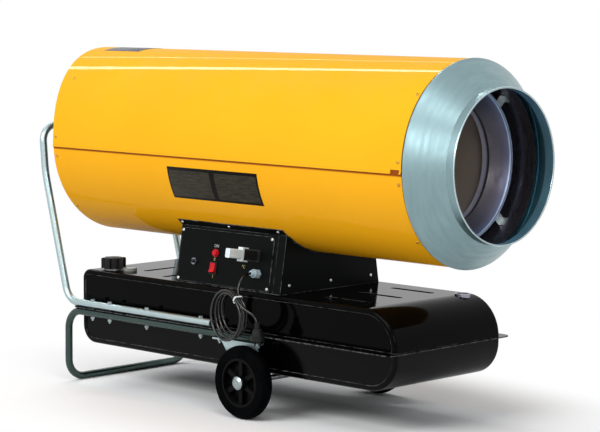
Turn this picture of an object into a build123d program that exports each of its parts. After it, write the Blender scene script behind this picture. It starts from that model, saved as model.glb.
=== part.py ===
"""Forced air heater: a direct-fired oil heater on a two-wheeled tank trolley.

The heater stands on the floor, Z = 0, with its middle over the origin.
+X is the way the warm air blows, -Y is the side with the control panel,
and +Z is up. All lengths are in millimetres.
"""

import math
import os

from build123d import *

os.makedirs("parts", exist_ok=True)

# ---------------------------------------------------------------- clearances
seat_gap = 0.3  # between parts that lie on each other
running_gap = 0.06  # radial, between a shaft and its bore
bolt_gap = 0.3  # radial, between a bolt and its hole

# ---------------------------------------------------------------- barrel
tank_top = 342.0
barrel_clear = 103.0  # from the tank to the lowest line of the barrel
barrel_radius = 275.0
axis_height = tank_top + barrel_clear + barrel_radius
barrel_rear = -694.0
barrel_front = 694.0
barrel_sheet = 1.6
seam_below = 11.5  # from the barrel's axis down to the lower edge of the upper shell
seam_height = axis_height - seam_below
seam_lap = 15.0  # how far the lower shell reaches up behind the upper one
hem_height = 5.0
hem_sheet = 1.8
latch_rear, latch_front = 652.0, 682.0
latch_height = 11.0
hood_overhang = 78.0  # how far the upper shell reaches back at its crown
hood_start = 40.0  # height above the seam where its rear edge starts to lean

# ---------------------------------------------------------------- outlet cone
cone_rim_step = 3.5  # how far its rim stands past the lower shell
cone_rim_radius = barrel_radius + cone_rim_step
cone_length = 80.0
spigot_radius = 206.0
spigot_length = 28.0
cone_sheet = 2.0
cone_sleeve = 30.0  # the sleeve that slips into the barrel

# ---------------------------------------------------------------- combustion
shield_gap = 39.0  # between the heat shield and the barrel
shield_radius = barrel_radius - shield_gap
shield_sheet = 1.5
shield_rear = -250.0
shield_front = 716.0
foot_width = 24.0
chamber_gap = 36.0  # between the chamber and the heat shield
chamber_radius = shield_radius - chamber_gap
chamber_sheet = 2.0
chamber_rear = -240.0
chamber_shoulder = 560.0  # where the cylinder starts to close in
throat_step = 24.0
throat_radius = chamber_radius - throat_step
throat_rear = 584.0
throat_front = 606.0
mouth_gap = 22.0
mouth_radius = shield_radius - mouth_gap
mouth_front = 655.0
blast_radius = 75.0
blast_sheet = 2.0
blast_rear = -345.0
blast_front = -215.0
nozzle_radius = 12.0

# ---------------------------------------------------------------- fan and motor
fan_plane = -420.0
fan_gap = 49.0  # between the blades and the barrel
fan_radius = barrel_radius - fan_gap
fan_chord = 84.0
fan_hub_radius = 46.0
blade_count = 6
blade_thickness = 2.4
blade_clear = 6.0  # between the blade tips and their ring
fan_throat_radius = fan_radius + blade_clear
motor_radius = 72.0
motor_length = 140.0
motor_front = -478.0
shaft_radius = 9.5
pump_width = 76.0
pump_height = 84.0
pump_length = 48.0
valve_size = 34.0
guard_plane = -690.0
guard_wire = 4.0
guard_pitch = 34.0
guard_rings = 7

# ---------------------------------------------------------------- housing and panel
housing_rear = -240.0
housing_front = 182.0
housing_half_width = 199.5
housing_top_half = 173.0
housing_drop = 2.2338  # its upper corners lie this far below the barrel's skin
housing_sheet = 2.0
housing_top = axis_height - math.sqrt(barrel_radius**2 - housing_top_half**2) - housing_drop
strip_top_angle = 46.3  # degrees below the barrel's side
panel_rear = -235.0
panel_front = 138.0
panel_foot = 346.0
panel_clear = 8.0  # between the panel's top edge and the housing's upper corner
panel_sheet = 2.5
panel_corner = 5.0

# ---------------------------------------------------------------- tank
tank_rear = -640.0
tank_front = 620.0
tank_tube_gap = 14.0  # between its wall and the frame's tubes
tank_seam = 231.0
tank_bottom = 123.0
tank_wall = 2.5
nose_radius = 110.0  # the big front shoulder of the upper half
nose_low_radius = 94.0
rear_radius = 28.0
rear_low_radius = 52.0
tank_edge = 9.0
bead_width = 15.0
bead_depth = 3.0
flange_lap = 12.0  # how far the seam flange reaches past the bolts
flange_rear = -648.0
flange_front = 632.0
flange_sheet = 1.5
flange_corner = 26.0

# ---------------------------------------------------------------- frame and wheels
tube_radius = 11.0
tube_wall = 2.0
frame_half = 238.0
tank_half_width = frame_half - tube_radius - tank_tube_gap
flange_half_width = frame_half + flange_lap
bolt_radius = 4.0
bolt_places = (-562.0, -485.0, -322.0, -94.0, -16.0)
bracket_bolt = 134.0
handle_corner = -674.0
handle_knee = (-778.0, 625.0)  # where the riser straightens up
handle_top = (-791.0, 765.0)
handle_front = -50.0
stand_leg = -673.0
stand_front = 150.0
stand_bend = 56.0
wheel_radius = 101.8
wheel_width = 38.0
wheel_place = 113.0
rim_radius = 68.0
axle_radius = 8.0
bracket_sheet = 4.0
web_reach = 8.0  # from the tubes' middle out to the axle brackets
wheel_clear = 4.0  # between a bracket and its tyre
wheel_outer = frame_half + web_reach + bracket_sheet + wheel_clear + wheel_width

# ---------------------------------------------------------------- cap and gauge
cap_x, cap_side = -567.0, 61.0  # how far its middle stands in from the tank's side
cap_y = cap_side - tank_half_width
cap_radius = 29.0
cap_height = 28.0
neck_radius = 22.0
neck_height = 20.0
gauge_x, gauge_side = -502.0, 70.0
gauge_y = gauge_side - tank_half_width
gauge_radius = 20.0
port_x, port_side = 525.0, 48.0
port_y = tank_half_width - port_side
port_radius = 22.0

# ---------------------------------------------------------------- cord
cord_radius = 3.5
coil_turns = 5

def ring_face(outer, inner):
    """A flat ring on the current sketch."""
    Circle(outer)
    Circle(inner, mode=Mode.SUBTRACT)


barrel_axis = Axis((0, 0, axis_height), (1, 0, 0))


def across(x):
    """The plane across the barrel at x, centred on the barrel's axis."""
    return Plane((x, 0, axis_height), x_dir=(0, 1, 0), z_dir=(1, 0, 0))


# Profiles that turn about the barrel's axis are drawn as (x, radius).
profile_plane = Plane((0, 0, axis_height), x_dir=(1, 0, 0), z_dir=(0, -1, 0))

# ================================================================ barrel
seam_drop = seam_height - axis_height
upper_inner = barrel_radius + seat_gap
upper_outer = upper_inner + barrel_sheet
lower_inner = barrel_radius - barrel_sheet
big = 4 * barrel_radius

with BuildPart() as lower_sheet:
    with BuildSketch(across(barrel_rear)):
        ring_face(barrel_radius, lower_inner)
        with Locations((0, seam_drop + seam_lap + big / 2)):
            Rectangle(big, big, mode=Mode.SUBTRACT)
    extrude(amount=barrel_front - barrel_rear)

with BuildPart() as upper_shell:
    with BuildSketch(across(barrel_rear - hood_overhang)):
        ring_face(upper_outer, upper_inner)
        with Locations((0, seam_drop - big / 2)):
            Rectangle(big, big, mode=Mode.SUBTRACT)
    extrude(amount=barrel_front - barrel_rear + hood_overhang)
    # a hem along each lower edge
    with BuildSketch(across(barrel_rear)):
        ring_face(upper_outer + hem_sheet, upper_outer - 0.5)
        with Locations((0, seam_drop - big / 2), (0, seam_drop + hem_height + big / 2)):
            Rectangle(big, big, mode=Mode.SUBTRACT)
    extrude(amount=barrel_front - barrel_rear)
    # a notch for the latch near the front of each edge
    with BuildSketch(Plane.XY.offset(seam_height - 1)):
        with Locations(((latch_rear + latch_front) / 2, 0)):
            Rectangle(latch_front - latch_rear, big)
    extrude(amount=latch_height + 1, mode=Mode.SUBTRACT)
    # the rear edge leans back in a long curve above the seam
    hood_foot = seam_height + hood_start
    hood_crown = axis_height + upper_outer + 1
    with BuildSketch(Plane.XZ.offset(-big / 2)):
        with BuildLine():
            start = (barrel_rear, hood_foot)
            end = (barrel_rear - hood_overhang, hood_crown)
            middle = (barrel_rear - 0.32 * hood_overhang, hood_foot + 0.5 * (hood_crown - hood_foot))
            ThreePointArc(start, middle, end)
            Polyline(end, (end[0] - 40, end[1]), (end[0] - 40, seam_height - 60), (barrel_rear, seam_height - 60), start)
        make_face()
    extrude(amount=big, mode=Mode.SUBTRACT)

# pan-head screws through the lap and round both ends of the shells
screw_radius = 2.0
head_radius = 4.6
head_height = 2.6


def barrel_screw(x, angle, skin):
    """Add one pan-head screw that stands square to the barrel at an angle above -Y."""
    turn = math.radians(angle)
    out = Vector(0, -math.cos(turn), math.sin(turn))
    base = Vector(x, 0, axis_height) + out * skin
    with BuildSketch(Plane(base, z_dir=out)) as head:
        RegularPolygon(head_radius, 8)
    extrude(head.sketch, amount=head_height)


shell_screw_places = []
for x in (barrel_rear + 14, barrel_front - 16):
    for angle in (4, 43, 137, 176):
        shell_screw_places.append((x, angle, upper_outer))
    for angle in (-8, -44, -136, -172):
        shell_screw_places.append((x, angle, barrel_radius))
with BuildPart() as shell_screws:
    for place in shell_screw_places:
        barrel_screw(*place)

# ================================================================ outlet cone
cone_front = barrel_front + cone_sheet + cone_length
spigot_front = cone_front + spigot_length
sleeve_outer = lower_inner - seat_gap
sleeve_inner = sleeve_outer - cone_sheet
with BuildPart() as outlet_cone:
    with BuildSketch(profile_plane):
        with BuildLine():
            Polyline(
                (barrel_front - cone_sleeve, sleeve_outer),
                (barrel_front, sleeve_outer),
                (barrel_front, cone_rim_radius),
                (barrel_front + cone_sheet, cone_rim_radius),
                (cone_front, spigot_radius),
                (spigot_front, spigot_radius),
                (spigot_front, spigot_radius - cone_sheet),
                (cone_front - 1, spigot_radius - cone_sheet),
                (barrel_front + cone_sheet, cone_rim_radius - 1.4 * cone_sheet),
                (barrel_front + cone_sheet, sleeve_inner),
                (barrel_front - cone_sleeve, sleeve_inner),
                close=True,
            )
        make_face()
    revolve(axis=barrel_axis)

# ================================================================ heat shield
shield_inner = shield_radius - shield_sheet
foot_tip = lower_inner - seat_gap
with BuildPart() as heat_shield:
    with BuildSketch(across(shield_rear)):
        ring_face(shield_radius, shield_inner)
    extrude(amount=shield_front - shield_rear)
    # pressed feet that hold it in the middle of the barrel
    for x in (shield_rear + 50, barrel_front - cone_sleeve - 60):
        with BuildSketch(across(x)):
            with PolarLocations(shield_radius + (foot_tip - shield_radius) / 2 - 0.4, 4, start_angle=45):
                Rectangle(foot_tip - shield_radius - 0.6, foot_width)
        extrude(amount=3)

# ================================================================ combustion chamber
chamber_inner = chamber_radius - chamber_sheet
with BuildPart() as combustion_chamber:
    with BuildSketch(profile_plane):
        with BuildLine():
            Polyline(
                (chamber_rear, blast_radius + seat_gap),
                (chamber_rear, chamber_radius),
                (chamber_shoulder, chamber_radius),
                (throat_rear, throat_radius),
                (throat_front, throat_radius),
                (mouth_front - 6, mouth_radius),
                (mouth_front, mouth_radius),
                (mouth_front, mouth_radius - chamber_sheet),
                (mouth_front - 5, mouth_radius - chamber_sheet),
                (throat_front + 1, throat_radius - chamber_sheet),
                (throat_rear - 1, throat_radius - chamber_sheet),
                (chamber_shoulder - 1, chamber_inner),
                (chamber_rear + chamber_sheet, chamber_inner),
                (chamber_rear + chamber_sheet, blast_radius + seat_gap),
                close=True,
            )
        make_face()
    revolve(axis=barrel_axis)


def chamber_bracket(x, inner, width, angle):
    """Add one Z-shaped bracket that stands between the chamber and the shield."""
    turn = math.radians(angle)
    out = Vector(0, math.cos(turn), math.sin(turn))
    side = Vector(0, -math.sin(turn), math.cos(turn))
    base = Vector(x, 0, axis_height) + out * (inner + seat_gap)
    height = shield_inner - inner - 3 * seat_gap
    sheet = 2.0
    with BuildSketch(Plane(base - side * width / 2, x_dir=(1, 0, 0), z_dir=side)) as profile:
        with BuildLine():
            Polyline(
                (0, 0),
                (16, 0),
                (16, height - sheet),
                (32, height - sheet),
                (32, height),
                (16 - sheet, height),
                (16 - sheet, sheet),
                (0, sheet),
                close=True,
            )
        make_face()
    extrude(profile.sketch, amount=width)


with BuildPart() as chamber_brackets:
    for angle in (45, 135, 225, 315):
        chamber_bracket(mouth_front - 14, mouth_radius, 26, angle)
        chamber_bracket(chamber_rear + 60, chamber_radius, 26, angle)

# ================================================================ burner head
blast_inner = blast_radius - blast_sheet
with BuildPart() as blast_tube:
    with BuildSketch(profile_plane):
        with BuildLine():
            Polyline(
                (blast_rear, blast_radius + 14),
                (blast_rear + 2, blast_radius + 14),
                (blast_rear + 16, blast_radius),
                (chamber_rear - 3, blast_radius),
                (chamber_rear - 3, blast_radius + 22),
                (chamber_rear - seat_gap, blast_radius + 22),
                (chamber_rear - seat_gap, blast_radius),
                (blast_front, blast_radius),
                (blast_front, blast_inner),
                (blast_rear + 15, blast_inner),
                (blast_rear, blast_radius + 11),
                close=True,
            )
        make_face()
    revolve(axis=barrel_axis)

# slotted disc that swirls the air round the flame
disc_radius = blast_inner - seat_gap
with BuildPart() as flame_disc:
    with BuildSketch(across(blast_front - 26)):
        Circle(disc_radius)
        Circle(22, mode=Mode.SUBTRACT)
        with PolarLocations(46, 8):
            Rectangle(34, 7, mode=Mode.SUBTRACT)
    extrude(amount=2)
    with BuildSketch(across(blast_front - 24)):
        ring_face(disc_radius, disc_radius - 2)
    extrude(amount=8)

electrode_radius = 6.0
electrode_spread = 22.0
electrode_lift = 8.0
nozzle_rear = blast_rear + 4
nozzle_tip = blast_front - 34
with BuildPart() as nozzle_holder:
    with BuildSketch(across(nozzle_rear)):
        Circle(nozzle_radius)
    extrude(amount=nozzle_tip - 22 - nozzle_rear)
    with BuildSketch(across(nozzle_tip - 22)):
        RegularPolygon(nozzle_radius - 2, 6)
    extrude(amount=16)
    with BuildSketch(across(nozzle_tip - 6)):
        Circle(nozzle_radius - 3)
    extrude(amount=6, taper=30)
    # three arms hold it in the middle of the blast tube
    arm_inner = nozzle_radius - 1
    arm_outer = blast_inner - seat_gap
    with BuildSketch(across(nozzle_rear + 34)):
        with PolarLocations((arm_inner + arm_outer) / 2, 3, start_angle=90):
            Rectangle(arm_outer - arm_inner, 10)
    extrude(amount=3)
    # and a plate on it holds the two electrodes
    with BuildSketch(across(nozzle_rear + 58)):
        with Locations((0, electrode_lift / 2)):
            RectangleRounded(2 * electrode_spread + 20, 30, 5)
        with Locations((-electrode_spread, electrode_lift), (electrode_spread, electrode_lift)):
            Circle(electrode_radius + 0.05, mode=Mode.SUBTRACT)
    extrude(amount=4)

electrode_rear = nozzle_rear + 40
with BuildPart() as electrodes:
    for side in (-1, 1):
        centre = (side * electrode_spread, electrode_lift)
        with BuildSketch(across(electrode_rear)):
            with Locations(centre):
                Circle(electrode_radius)
        extrude(amount=46)
        with BuildSketch(across(electrode_rear + 46)):
            with Locations(centre):
                Circle(1.6)
        extrude(amount=8)

photocell_angle = math.radians(60)
with BuildPart() as photocell:
    out = Vector(0, math.cos(photocell_angle), math.sin(photocell_angle))
    foot = Vector(blast_rear + 62, 0, axis_height) + out * (blast_radius + seat_gap)
    with BuildSketch(Plane(foot, z_dir=out)):
        Circle(9)
    extrude(amount=22)
    with BuildSketch(Plane(foot + out * 22, z_dir=out)):
        Circle(6)
    extrude(amount=8)

# ================================================================ fan ring
ring_sheet = 2.0
throat_depth = 46.0
with BuildPart() as ring_pressing:
    with BuildSketch(profile_plane):
        with BuildLine():
            front = fan_plane + throat_depth / 2
            rear = fan_plane - throat_depth / 2
            Polyline(
                (front + 14, lower_inner - seat_gap),
                (front + 14, lower_inner - seat_gap - ring_sheet),
                (front + ring_sheet, lower_inner - seat_gap - ring_sheet),
                (front + ring_sheet, fan_throat_radius + 4),
                (front - 2, fan_throat_radius),
                (rear + 5, fan_throat_radius),
                (rear - 1.5, fan_throat_radius + 7),
                (rear, fan_throat_radius + 8.5),
                (rear + 6, fan_throat_radius + ring_sheet),
                (front - 3, fan_throat_radius + ring_sheet),
                (front, fan_throat_radius + 5),
                (front, lower_inner - seat_gap),
                close=True,
            )
        make_face()
    revolve(axis=barrel_axis)

# ================================================================ fan
hub_length = 62.0
hub_rear = fan_plane - hub_length / 2
blade_root = fan_hub_radius - 4
root_pitch = 52.0
tip_pitch = 27.0


def blade_section(radius, pitch, chord):
    """One cambered section of the blade, square to its radius."""
    level = Plane((fan_plane, 0, axis_height + radius), x_dir=(1, 0, 0), z_dir=(0, 0, 1))
    camber = 0.09 * chord
    with BuildSketch(level) as section:
        with BuildLine():
            turn = math.radians(90 - pitch)
            along = Vector(math.cos(turn), math.sin(turn))
            lift = Vector(-math.sin(turn), math.cos(turn))
            ends = [along * (-chord / 2), along * (chord / 2)]
            outside = [ends[0] + lift * blade_thickness, ends[1] + lift * blade_thickness]
            ThreePointArc(ends[0], lift * camber, ends[1])
            ThreePointArc(outside[0], lift * (camber + blade_thickness), outside[1])
            Line(ends[0], outside[0])
            Line(ends[1], outside[1])
        make_face()
    return section.sketch.face()


with BuildPart() as blade:
    root = blade_section(blade_root, root_pitch, 0.72 * fan_chord)
    middle = blade_section((blade_root + fan_radius) / 2, (root_pitch + tip_pitch) / 2, fan_chord)
    tip = blade_section(fan_radius, tip_pitch, 1.12 * fan_chord)
    loft([root, middle, tip])

with BuildPart() as fan:
    with BuildSketch(across(hub_rear)):
        ring_face(fan_hub_radius, shaft_radius)
    extrude(amount=hub_length)
    chamfer(fan.edges().filter_by(GeomType.CIRCLE).sort_by(SortBy.RADIUS)[-2:], 5)
    for i in range(blade_count):
        add(blade.part.rotate(barrel_axis, 360 * i / blade_count))

# ================================================================ motor and pump
motor_rear = motor_front - motor_length
pump_front = motor_rear - 10
pump_rear = pump_front - pump_length
shaft_hole = shaft_radius + running_gap
with BuildPart() as fan_motor:
    with BuildSketch(across(motor_rear)):
        Circle(motor_radius)
    extrude(amount=motor_length)
    # cooling fins along the stator
    with BuildSketch(across(motor_rear + 26)):
        with PolarLocations(motor_radius + 3, 20):
            Rectangle(8, 3.5)
    extrude(amount=motor_length - 52)
    # bearing bosses
    with BuildSketch(across(motor_front)):
        Circle(26)
    extrude(amount=7)
    with BuildSketch(across(motor_rear - 10)):
        Circle(34)
    extrude(amount=10)
    with BuildSketch(across(motor_rear - 20)):
        Circle(shaft_hole)
    extrude(amount=motor_length + 40, mode=Mode.SUBTRACT)

with BuildPart() as motor_shaft:
    with BuildSketch(across(pump_front - 14)):
        Circle(shaft_radius)
    extrude(amount=hub_rear - pump_front + 14)
    with BuildSketch(across(hub_rear)):
        Circle(shaft_radius - 0.02)
    extrude(amount=hub_length + 6)

with BuildPart() as fuel_pump:
    with BuildSketch(across(pump_rear)):
        RectangleRounded(pump_width, pump_height, 12)
    extrude(amount=pump_length)
    with BuildSketch(across(pump_rear - 8)):
        Circle(20)
    extrude(amount=8)
    with BuildSketch(across(pump_front - 16)):
        Circle(shaft_hole)
    extrude(amount=16, mode=Mode.SUBTRACT)
    # the solenoid valve stands on top of the pump
    with BuildSketch(Plane((pump_rear + pump_length / 2, 0, axis_height + pump_height / 2))):
        Rectangle(valve_size, valve_size)
    extrude(amount=valve_size)

# flat arms that hang the motor in the barrel
arm_length = lower_inner - seat_gap - motor_radius - 7
arm_middle = motor_radius + 7 + arm_length / 2
with BuildPart() as motor_bracket:
    clamp_plane = across(motor_rear + 8)
    with BuildSketch(clamp_plane):
        ring_face(motor_radius + 7.6, motor_radius + seat_gap)
    extrude(amount=14)
    with BuildSketch(clamp_plane):
        with PolarLocations(arm_middle - 0.3, 4, start_angle=45):
            Rectangle(arm_length - 0.6, 24)
    extrude(amount=3)
    with BuildSketch(clamp_plane):
        with PolarLocations(lower_inner - seat_gap - 2.6, 4, start_angle=45):
            Rectangle(3, 24)
    extrude(amount=26)

# ================================================================ rear guard
guard_outer = lower_inner - seat_gap
with BuildPart() as rear_guard:
    for i in range(guard_rings):
        radius = guard_outer - i * guard_pitch
        with BuildSketch(across(guard_plane)):
            ring_face(radius, radius - guard_wire)
        extrude(amount=guard_wire)
    spoke_inner = guard_outer - (guard_rings - 1) * guard_pitch - guard_wire
    spoke_length = guard_outer - spoke_inner - guard_wire / 2
    with BuildSketch(across(guard_plane + guard_wire)):
        with PolarLocations(spoke_inner + spoke_length / 2, 8, start_angle=22.5):
            Rectangle(spoke_length, guard_wire)
    extrude(amount=guard_wire)

# ================================================================ housing
housing_foot = tank_top
housing_length = housing_front - housing_rear
lean = math.atan2(housing_half_width - housing_top_half, housing_top - housing_foot)
saddle = barrel_radius + seat_gap


def polar(radius, angle):
    """A point across the barrel, at an angle above its +Y side."""
    turn = math.radians(angle)
    return (radius * math.cos(turn), radius * math.sin(turn))


def arc_strip(inner, outer, first, last):
    """The face of a strip that lies round the barrel between two angles."""
    middle = (first + last) / 2
    with BuildSketch(Plane.XY) as strip:
        with BuildLine():
            ThreePointArc(polar(inner, first), polar(inner, middle), polar(inner, last))
            Line(polar(inner, last), polar(outer, last))
            ThreePointArc(polar(outer, last), polar(outer, middle), polar(outer, first))
            Line(polar(outer, first), polar(inner, first))
        make_face()
    return strip.sketch.face()


strip_foot_angle = 52.2
upper_strip = arc_strip(saddle, saddle + housing_sheet, -strip_top_angle, -strip_foot_angle)
front_strip = arc_strip(saddle, saddle + housing_sheet, -strip_foot_angle, strip_foot_angle - 180)
fold_rear = 152.0  # the front plate folds round over the sides as far back as this
fold_step = 1.0


with BuildPart() as housing_box:
    with BuildSketch(across(housing_rear)):
        Polygon(
            (-housing_half_width, housing_foot - axis_height),
            (housing_half_width, housing_foot - axis_height),
            (housing_top_half, housing_top - axis_height),
            (0, housing_top + 60 - axis_height),
            (-housing_top_half, housing_top - axis_height),
            align=None,
        )
        Circle(saddle, mode=Mode.SUBTRACT)
    extrude(amount=housing_length)
    with BuildSketch(across(fold_rear)):
        wide = housing_half_width + fold_step
        Polygon(
            (-wide, housing_foot - axis_height),
            (wide, housing_foot - axis_height),
            (housing_top_half + fold_step, housing_top - axis_height),
            (-housing_top_half - fold_step, housing_top - axis_height),
            align=None,
        )
        Circle(saddle, mode=Mode.SUBTRACT)
    extrude(amount=housing_front - fold_rear)
    with BuildSketch(across(housing_rear + housing_sheet)):
        inside = housing_half_width - housing_sheet
        inside_top = housing_top_half - housing_sheet
        Polygon(
            (-inside, housing_foot - axis_height),
            (inside, housing_foot - axis_height),
            (inside_top, housing_top - axis_height),
            (inside_top, housing_top + 60 - axis_height),
            (-inside_top, housing_top + 60 - axis_height),
            (-inside_top, housing_top - axis_height),
            align=None,
        )
    extrude(amount=housing_length - 2 * housing_sheet, mode=Mode.SUBTRACT)
    # strips that lie on the barrel along both sides and over the front plate
    with BuildSketch(across(housing_rear)):
        add(upper_strip)
        add(upper_strip.mirror(Plane.YZ))
    extrude(amount=housing_length)
    with BuildSketch(across(housing_front - housing_sheet)):
        add(front_strip)
    extrude(amount=housing_sheet + 5)
    # feet turned inwards on the tank
    with BuildSketch(Plane.XY.offset(housing_foot)):
        with Locations(((housing_rear + housing_front) / 2, 0)):
            Rectangle(housing_length - 1, 2 * inside + 1)
            Rectangle(housing_length - 36, 2 * inside - 32, mode=Mode.SUBTRACT)
    extrude(amount=housing_sheet)

# ================================================================ control panel
panel_height = (housing_top - panel_foot - panel_clear) / math.cos(lean)
panel_side = housing_half_width - (panel_foot - housing_foot) * math.tan(lean)
panel_back = Plane(
    (0, -panel_side, panel_foot), x_dir=(1, 0, 0), z_dir=(0, -math.cos(lean), math.sin(lean))
)
panel_face = panel_back.offset(panel_sheet)
panel_middle = ((panel_rear + panel_front) / 2, panel_height / 2)
panel_inset = 7.0
window_margin = 16.0

lamp_place = (-86.0, 89.0)
rocker_place = (-89.0, 46.0)
reset_place = (-168.0, 59.0)
socket_place = (69.0, 95.0)
gland_place = (89.0, 46.0)
lamp_neck = 8.0
rocker_length, rocker_width = 27.0, 18.6
switch_neck = (23.0, 31.0)
reset_neck = 8.0
socket_neck = (34.0, 24.0)
gland_neck = 8.0

with BuildPart(mode=Mode.PRIVATE) as window:
    with BuildSketch(panel_back.offset(4)):
        with Locations(panel_middle):
            Rectangle(
                panel_front - panel_rear - 2 * window_margin, panel_height - 2 * window_margin
            )
    extrude(amount=-10)
with BuildPart() as housing:
    add(housing_box.part - window.part)

with BuildPart() as control_panel:
    with BuildSketch(panel_back):
        with Locations(panel_middle):
            RectangleRounded(panel_front - panel_rear, panel_height, panel_corner)
        with Locations(lamp_place):
            Circle(lamp_neck + seat_gap, mode=Mode.SUBTRACT)
        with Locations(rocker_place):
            Rectangle(switch_neck[0] + seat_gap, switch_neck[1] + seat_gap, mode=Mode.SUBTRACT)
        with Locations(reset_place):
            Circle(reset_neck + seat_gap, mode=Mode.SUBTRACT)
        with Locations(socket_place):
            Rectangle(socket_neck[0] + seat_gap, socket_neck[1] + seat_gap, mode=Mode.SUBTRACT)
        with Locations(gland_place):
            Circle(gland_neck + seat_gap, mode=Mode.SUBTRACT)
    extrude(amount=panel_sheet)

with BuildPart() as panel_screws:
    with BuildSketch(panel_face):
        with Locations(panel_middle):
            with GridLocations(
                panel_front - panel_rear - 2 * panel_inset, panel_height - 2 * panel_inset, 2, 2
            ):
                RegularPolygon(head_radius, 8)
    extrude(amount=head_height)


front_screw_height = 365.0
front_screw_pitch = 165.0
strip_screw_inset = 13.0
strip_screws = (housing_rear + strip_screw_inset, -35.0, housing_front - strip_screw_inset - 10)
with BuildPart() as housing_screws:
    for x in strip_screws:
        for angle in (-48.4, -131.6):
            barrel_screw(x, angle, saddle + housing_sheet)
    with BuildSketch(Plane((housing_front, 0, front_screw_height), x_dir=(0, 1, 0), z_dir=(1, 0, 0))):
        with GridLocations(front_screw_pitch, 1, 3, 1):
            RegularPolygon(head_radius, 8)
    extrude(amount=head_height)

with BuildPart() as indicator_lamp:
    with BuildSketch(panel_face.offset(-22)):
        with Locations(lamp_place):
            Circle(lamp_neck)
    extrude(amount=22)
    with BuildSketch(panel_face):
        with Locations(lamp_place):
            Circle(11.5)
    extrude(amount=2.5)
    for height, radius, rise, slope in ((2.5, 9.5, 5, 10), (7.5, 8.6, 2.5, 48)):
        with BuildSketch(panel_face.offset(height)):
            with Locations(lamp_place):
                Circle(radius)
        extrude(amount=rise, taper=slope)

switch_depth = 16.0
hinge_depth = 1.0  # how far the rocker's hinge lies behind the panel's face
trunnion_radius, trunnion_reach = 1.5, 1.2
hinge_point = panel_face.from_local_coords(Vector(rocker_place[0], rocker_place[1], -hinge_depth))
with BuildPart() as switch_frame:
    with BuildSketch(panel_face.offset(-switch_depth - 2)):
        with Locations(rocker_place):
            Rectangle(*switch_neck)
    extrude(amount=switch_depth + 2)
    with BuildSketch(panel_face):
        with Locations(rocker_place):
            RectangleRounded(28, 36, 3)
    extrude(amount=2.5)
    with BuildSketch(panel_face.offset(-switch_depth)):
        with Locations(rocker_place):
            Rectangle(rocker_width + 0.8, rocker_length + 1.6)
    extrude(amount=switch_depth + 4, mode=Mode.SUBTRACT)
    with BuildSketch(Plane(hinge_point, x_dir=panel_face.y_dir, z_dir=(1, 0, 0))):
        Circle(trunnion_radius + running_gap)
    extrude(amount=rocker_width / 2 + trunnion_reach + seat_gap, both=True, mode=Mode.SUBTRACT)

# the rocker rests tilted, its upper end pressed in
rocker_tilt = 9.0
rocker_side = Plane(hinge_point, x_dir=panel_face.y_dir, z_dir=(1, 0, 0))
with BuildPart() as rocker_level:
    with BuildSketch(rocker_side.offset(-rocker_width / 2)):
        half = rocker_length / 2 - 0.4
        with BuildLine():
            ThreePointArc((-half, 10), (0, 7.1), (half, 10))
            Polyline((half, 10), (half, 2.5), (6, -5.5), (-6, -5.5), (-half, 2.5), (-half, 10))
        make_face()
    extrude(amount=rocker_width)
    with BuildSketch(rocker_side):
        Circle(trunnion_radius)
    extrude(amount=rocker_width / 2 + trunnion_reach, both=True)
rocker_axis = Axis(hinge_point, (1, 0, 0))
with BuildPart() as rocker:
    add(rocker_level.part.rotate(rocker_axis, -rocker_tilt))

button_radius = 5.2
with BuildPart() as reset_nut:
    with BuildSketch(panel_face.offset(-20)):
        with Locations(reset_place):
            Circle(reset_neck)
    extrude(amount=20)
    with BuildSketch(panel_face):
        with Locations(reset_place):
            RegularPolygon(10.5, 6)
    extrude(amount=4.5)
    with BuildSketch(panel_face.offset(4.5)):
        with Locations(reset_place):
            Circle(8.5)
    extrude(amount=3)
    with BuildSketch(panel_face.offset(-14)):
        with Locations(reset_place):
            Circle(button_radius + running_gap)
    extrude(amount=30, mode=Mode.SUBTRACT)

with BuildPart() as reset_button:
    with BuildSketch(panel_face.offset(-8)):
        with Locations(reset_place):
            Circle(button_radius)
    extrude(amount=20)
    chamfer(reset_button.faces().sort_by(Axis((0, 0, 0), panel_face.z_dir))[-1].edges(), 1)

# ================================================================ thermostat socket and plug
socket_out = 50.0
socket_size = (24.0, 26.0)
plug_core = (14.0, 16.0)
core_gap = 0.4
core_length = 28.0
latch_plate = (18.0, 40.0)
latch_sheet = 7.0
latch_reach = 18.0
plug_grip = (18.0, 26.0)
plug_out = 105.0
with BuildPart() as thermostat_socket:
    with BuildSketch(panel_face.offset(-18)):
        with Locations(socket_place):
            Rectangle(*socket_neck)
    extrude(amount=18)
    with BuildSketch(panel_face):
        with Locations(socket_place):
            RectangleRounded(46, 34, 3)
    extrude(amount=3)
    with BuildSketch(panel_face.offset(3)):
        with Locations(socket_place):
            RectangleRounded(*socket_size, 2)
    extrude(amount=socket_out - 3)
    with BuildSketch(panel_face.offset(socket_out - core_length - 2)):
        with Locations(socket_place):
            Rectangle(plug_core[0] + 2 * core_gap, plug_core[1] + 2 * core_gap)
    extrude(amount=core_length + 4, mode=Mode.SUBTRACT)

arm_sheet = 4.0
with BuildPart() as thermostat_plug:
    with BuildSketch(panel_face.offset(socket_out - core_length)):
        with Locations(socket_place):
            Rectangle(*plug_core)
    extrude(amount=core_length + 1)
    with BuildSketch(panel_face.offset(socket_out + 0.5)):
        with Locations(socket_place):
            RectangleRounded(*latch_plate, 2)
    extrude(amount=latch_sheet)
    with BuildSketch(panel_face.offset(socket_out - latch_reach)):
        with Locations(socket_place):
            with GridLocations(1, latch_plate[1] - arm_sheet, 1, 2):
                Rectangle(latch_plate[0] - 6, arm_sheet)
    extrude(amount=latch_reach + 1)
    with BuildSketch(panel_face.offset(socket_out + latch_sheet)):
        with Locations(socket_place):
            RectangleRounded(*plug_grip, 4)
    extrude(amount=plug_out - socket_out - latch_sheet)

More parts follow.
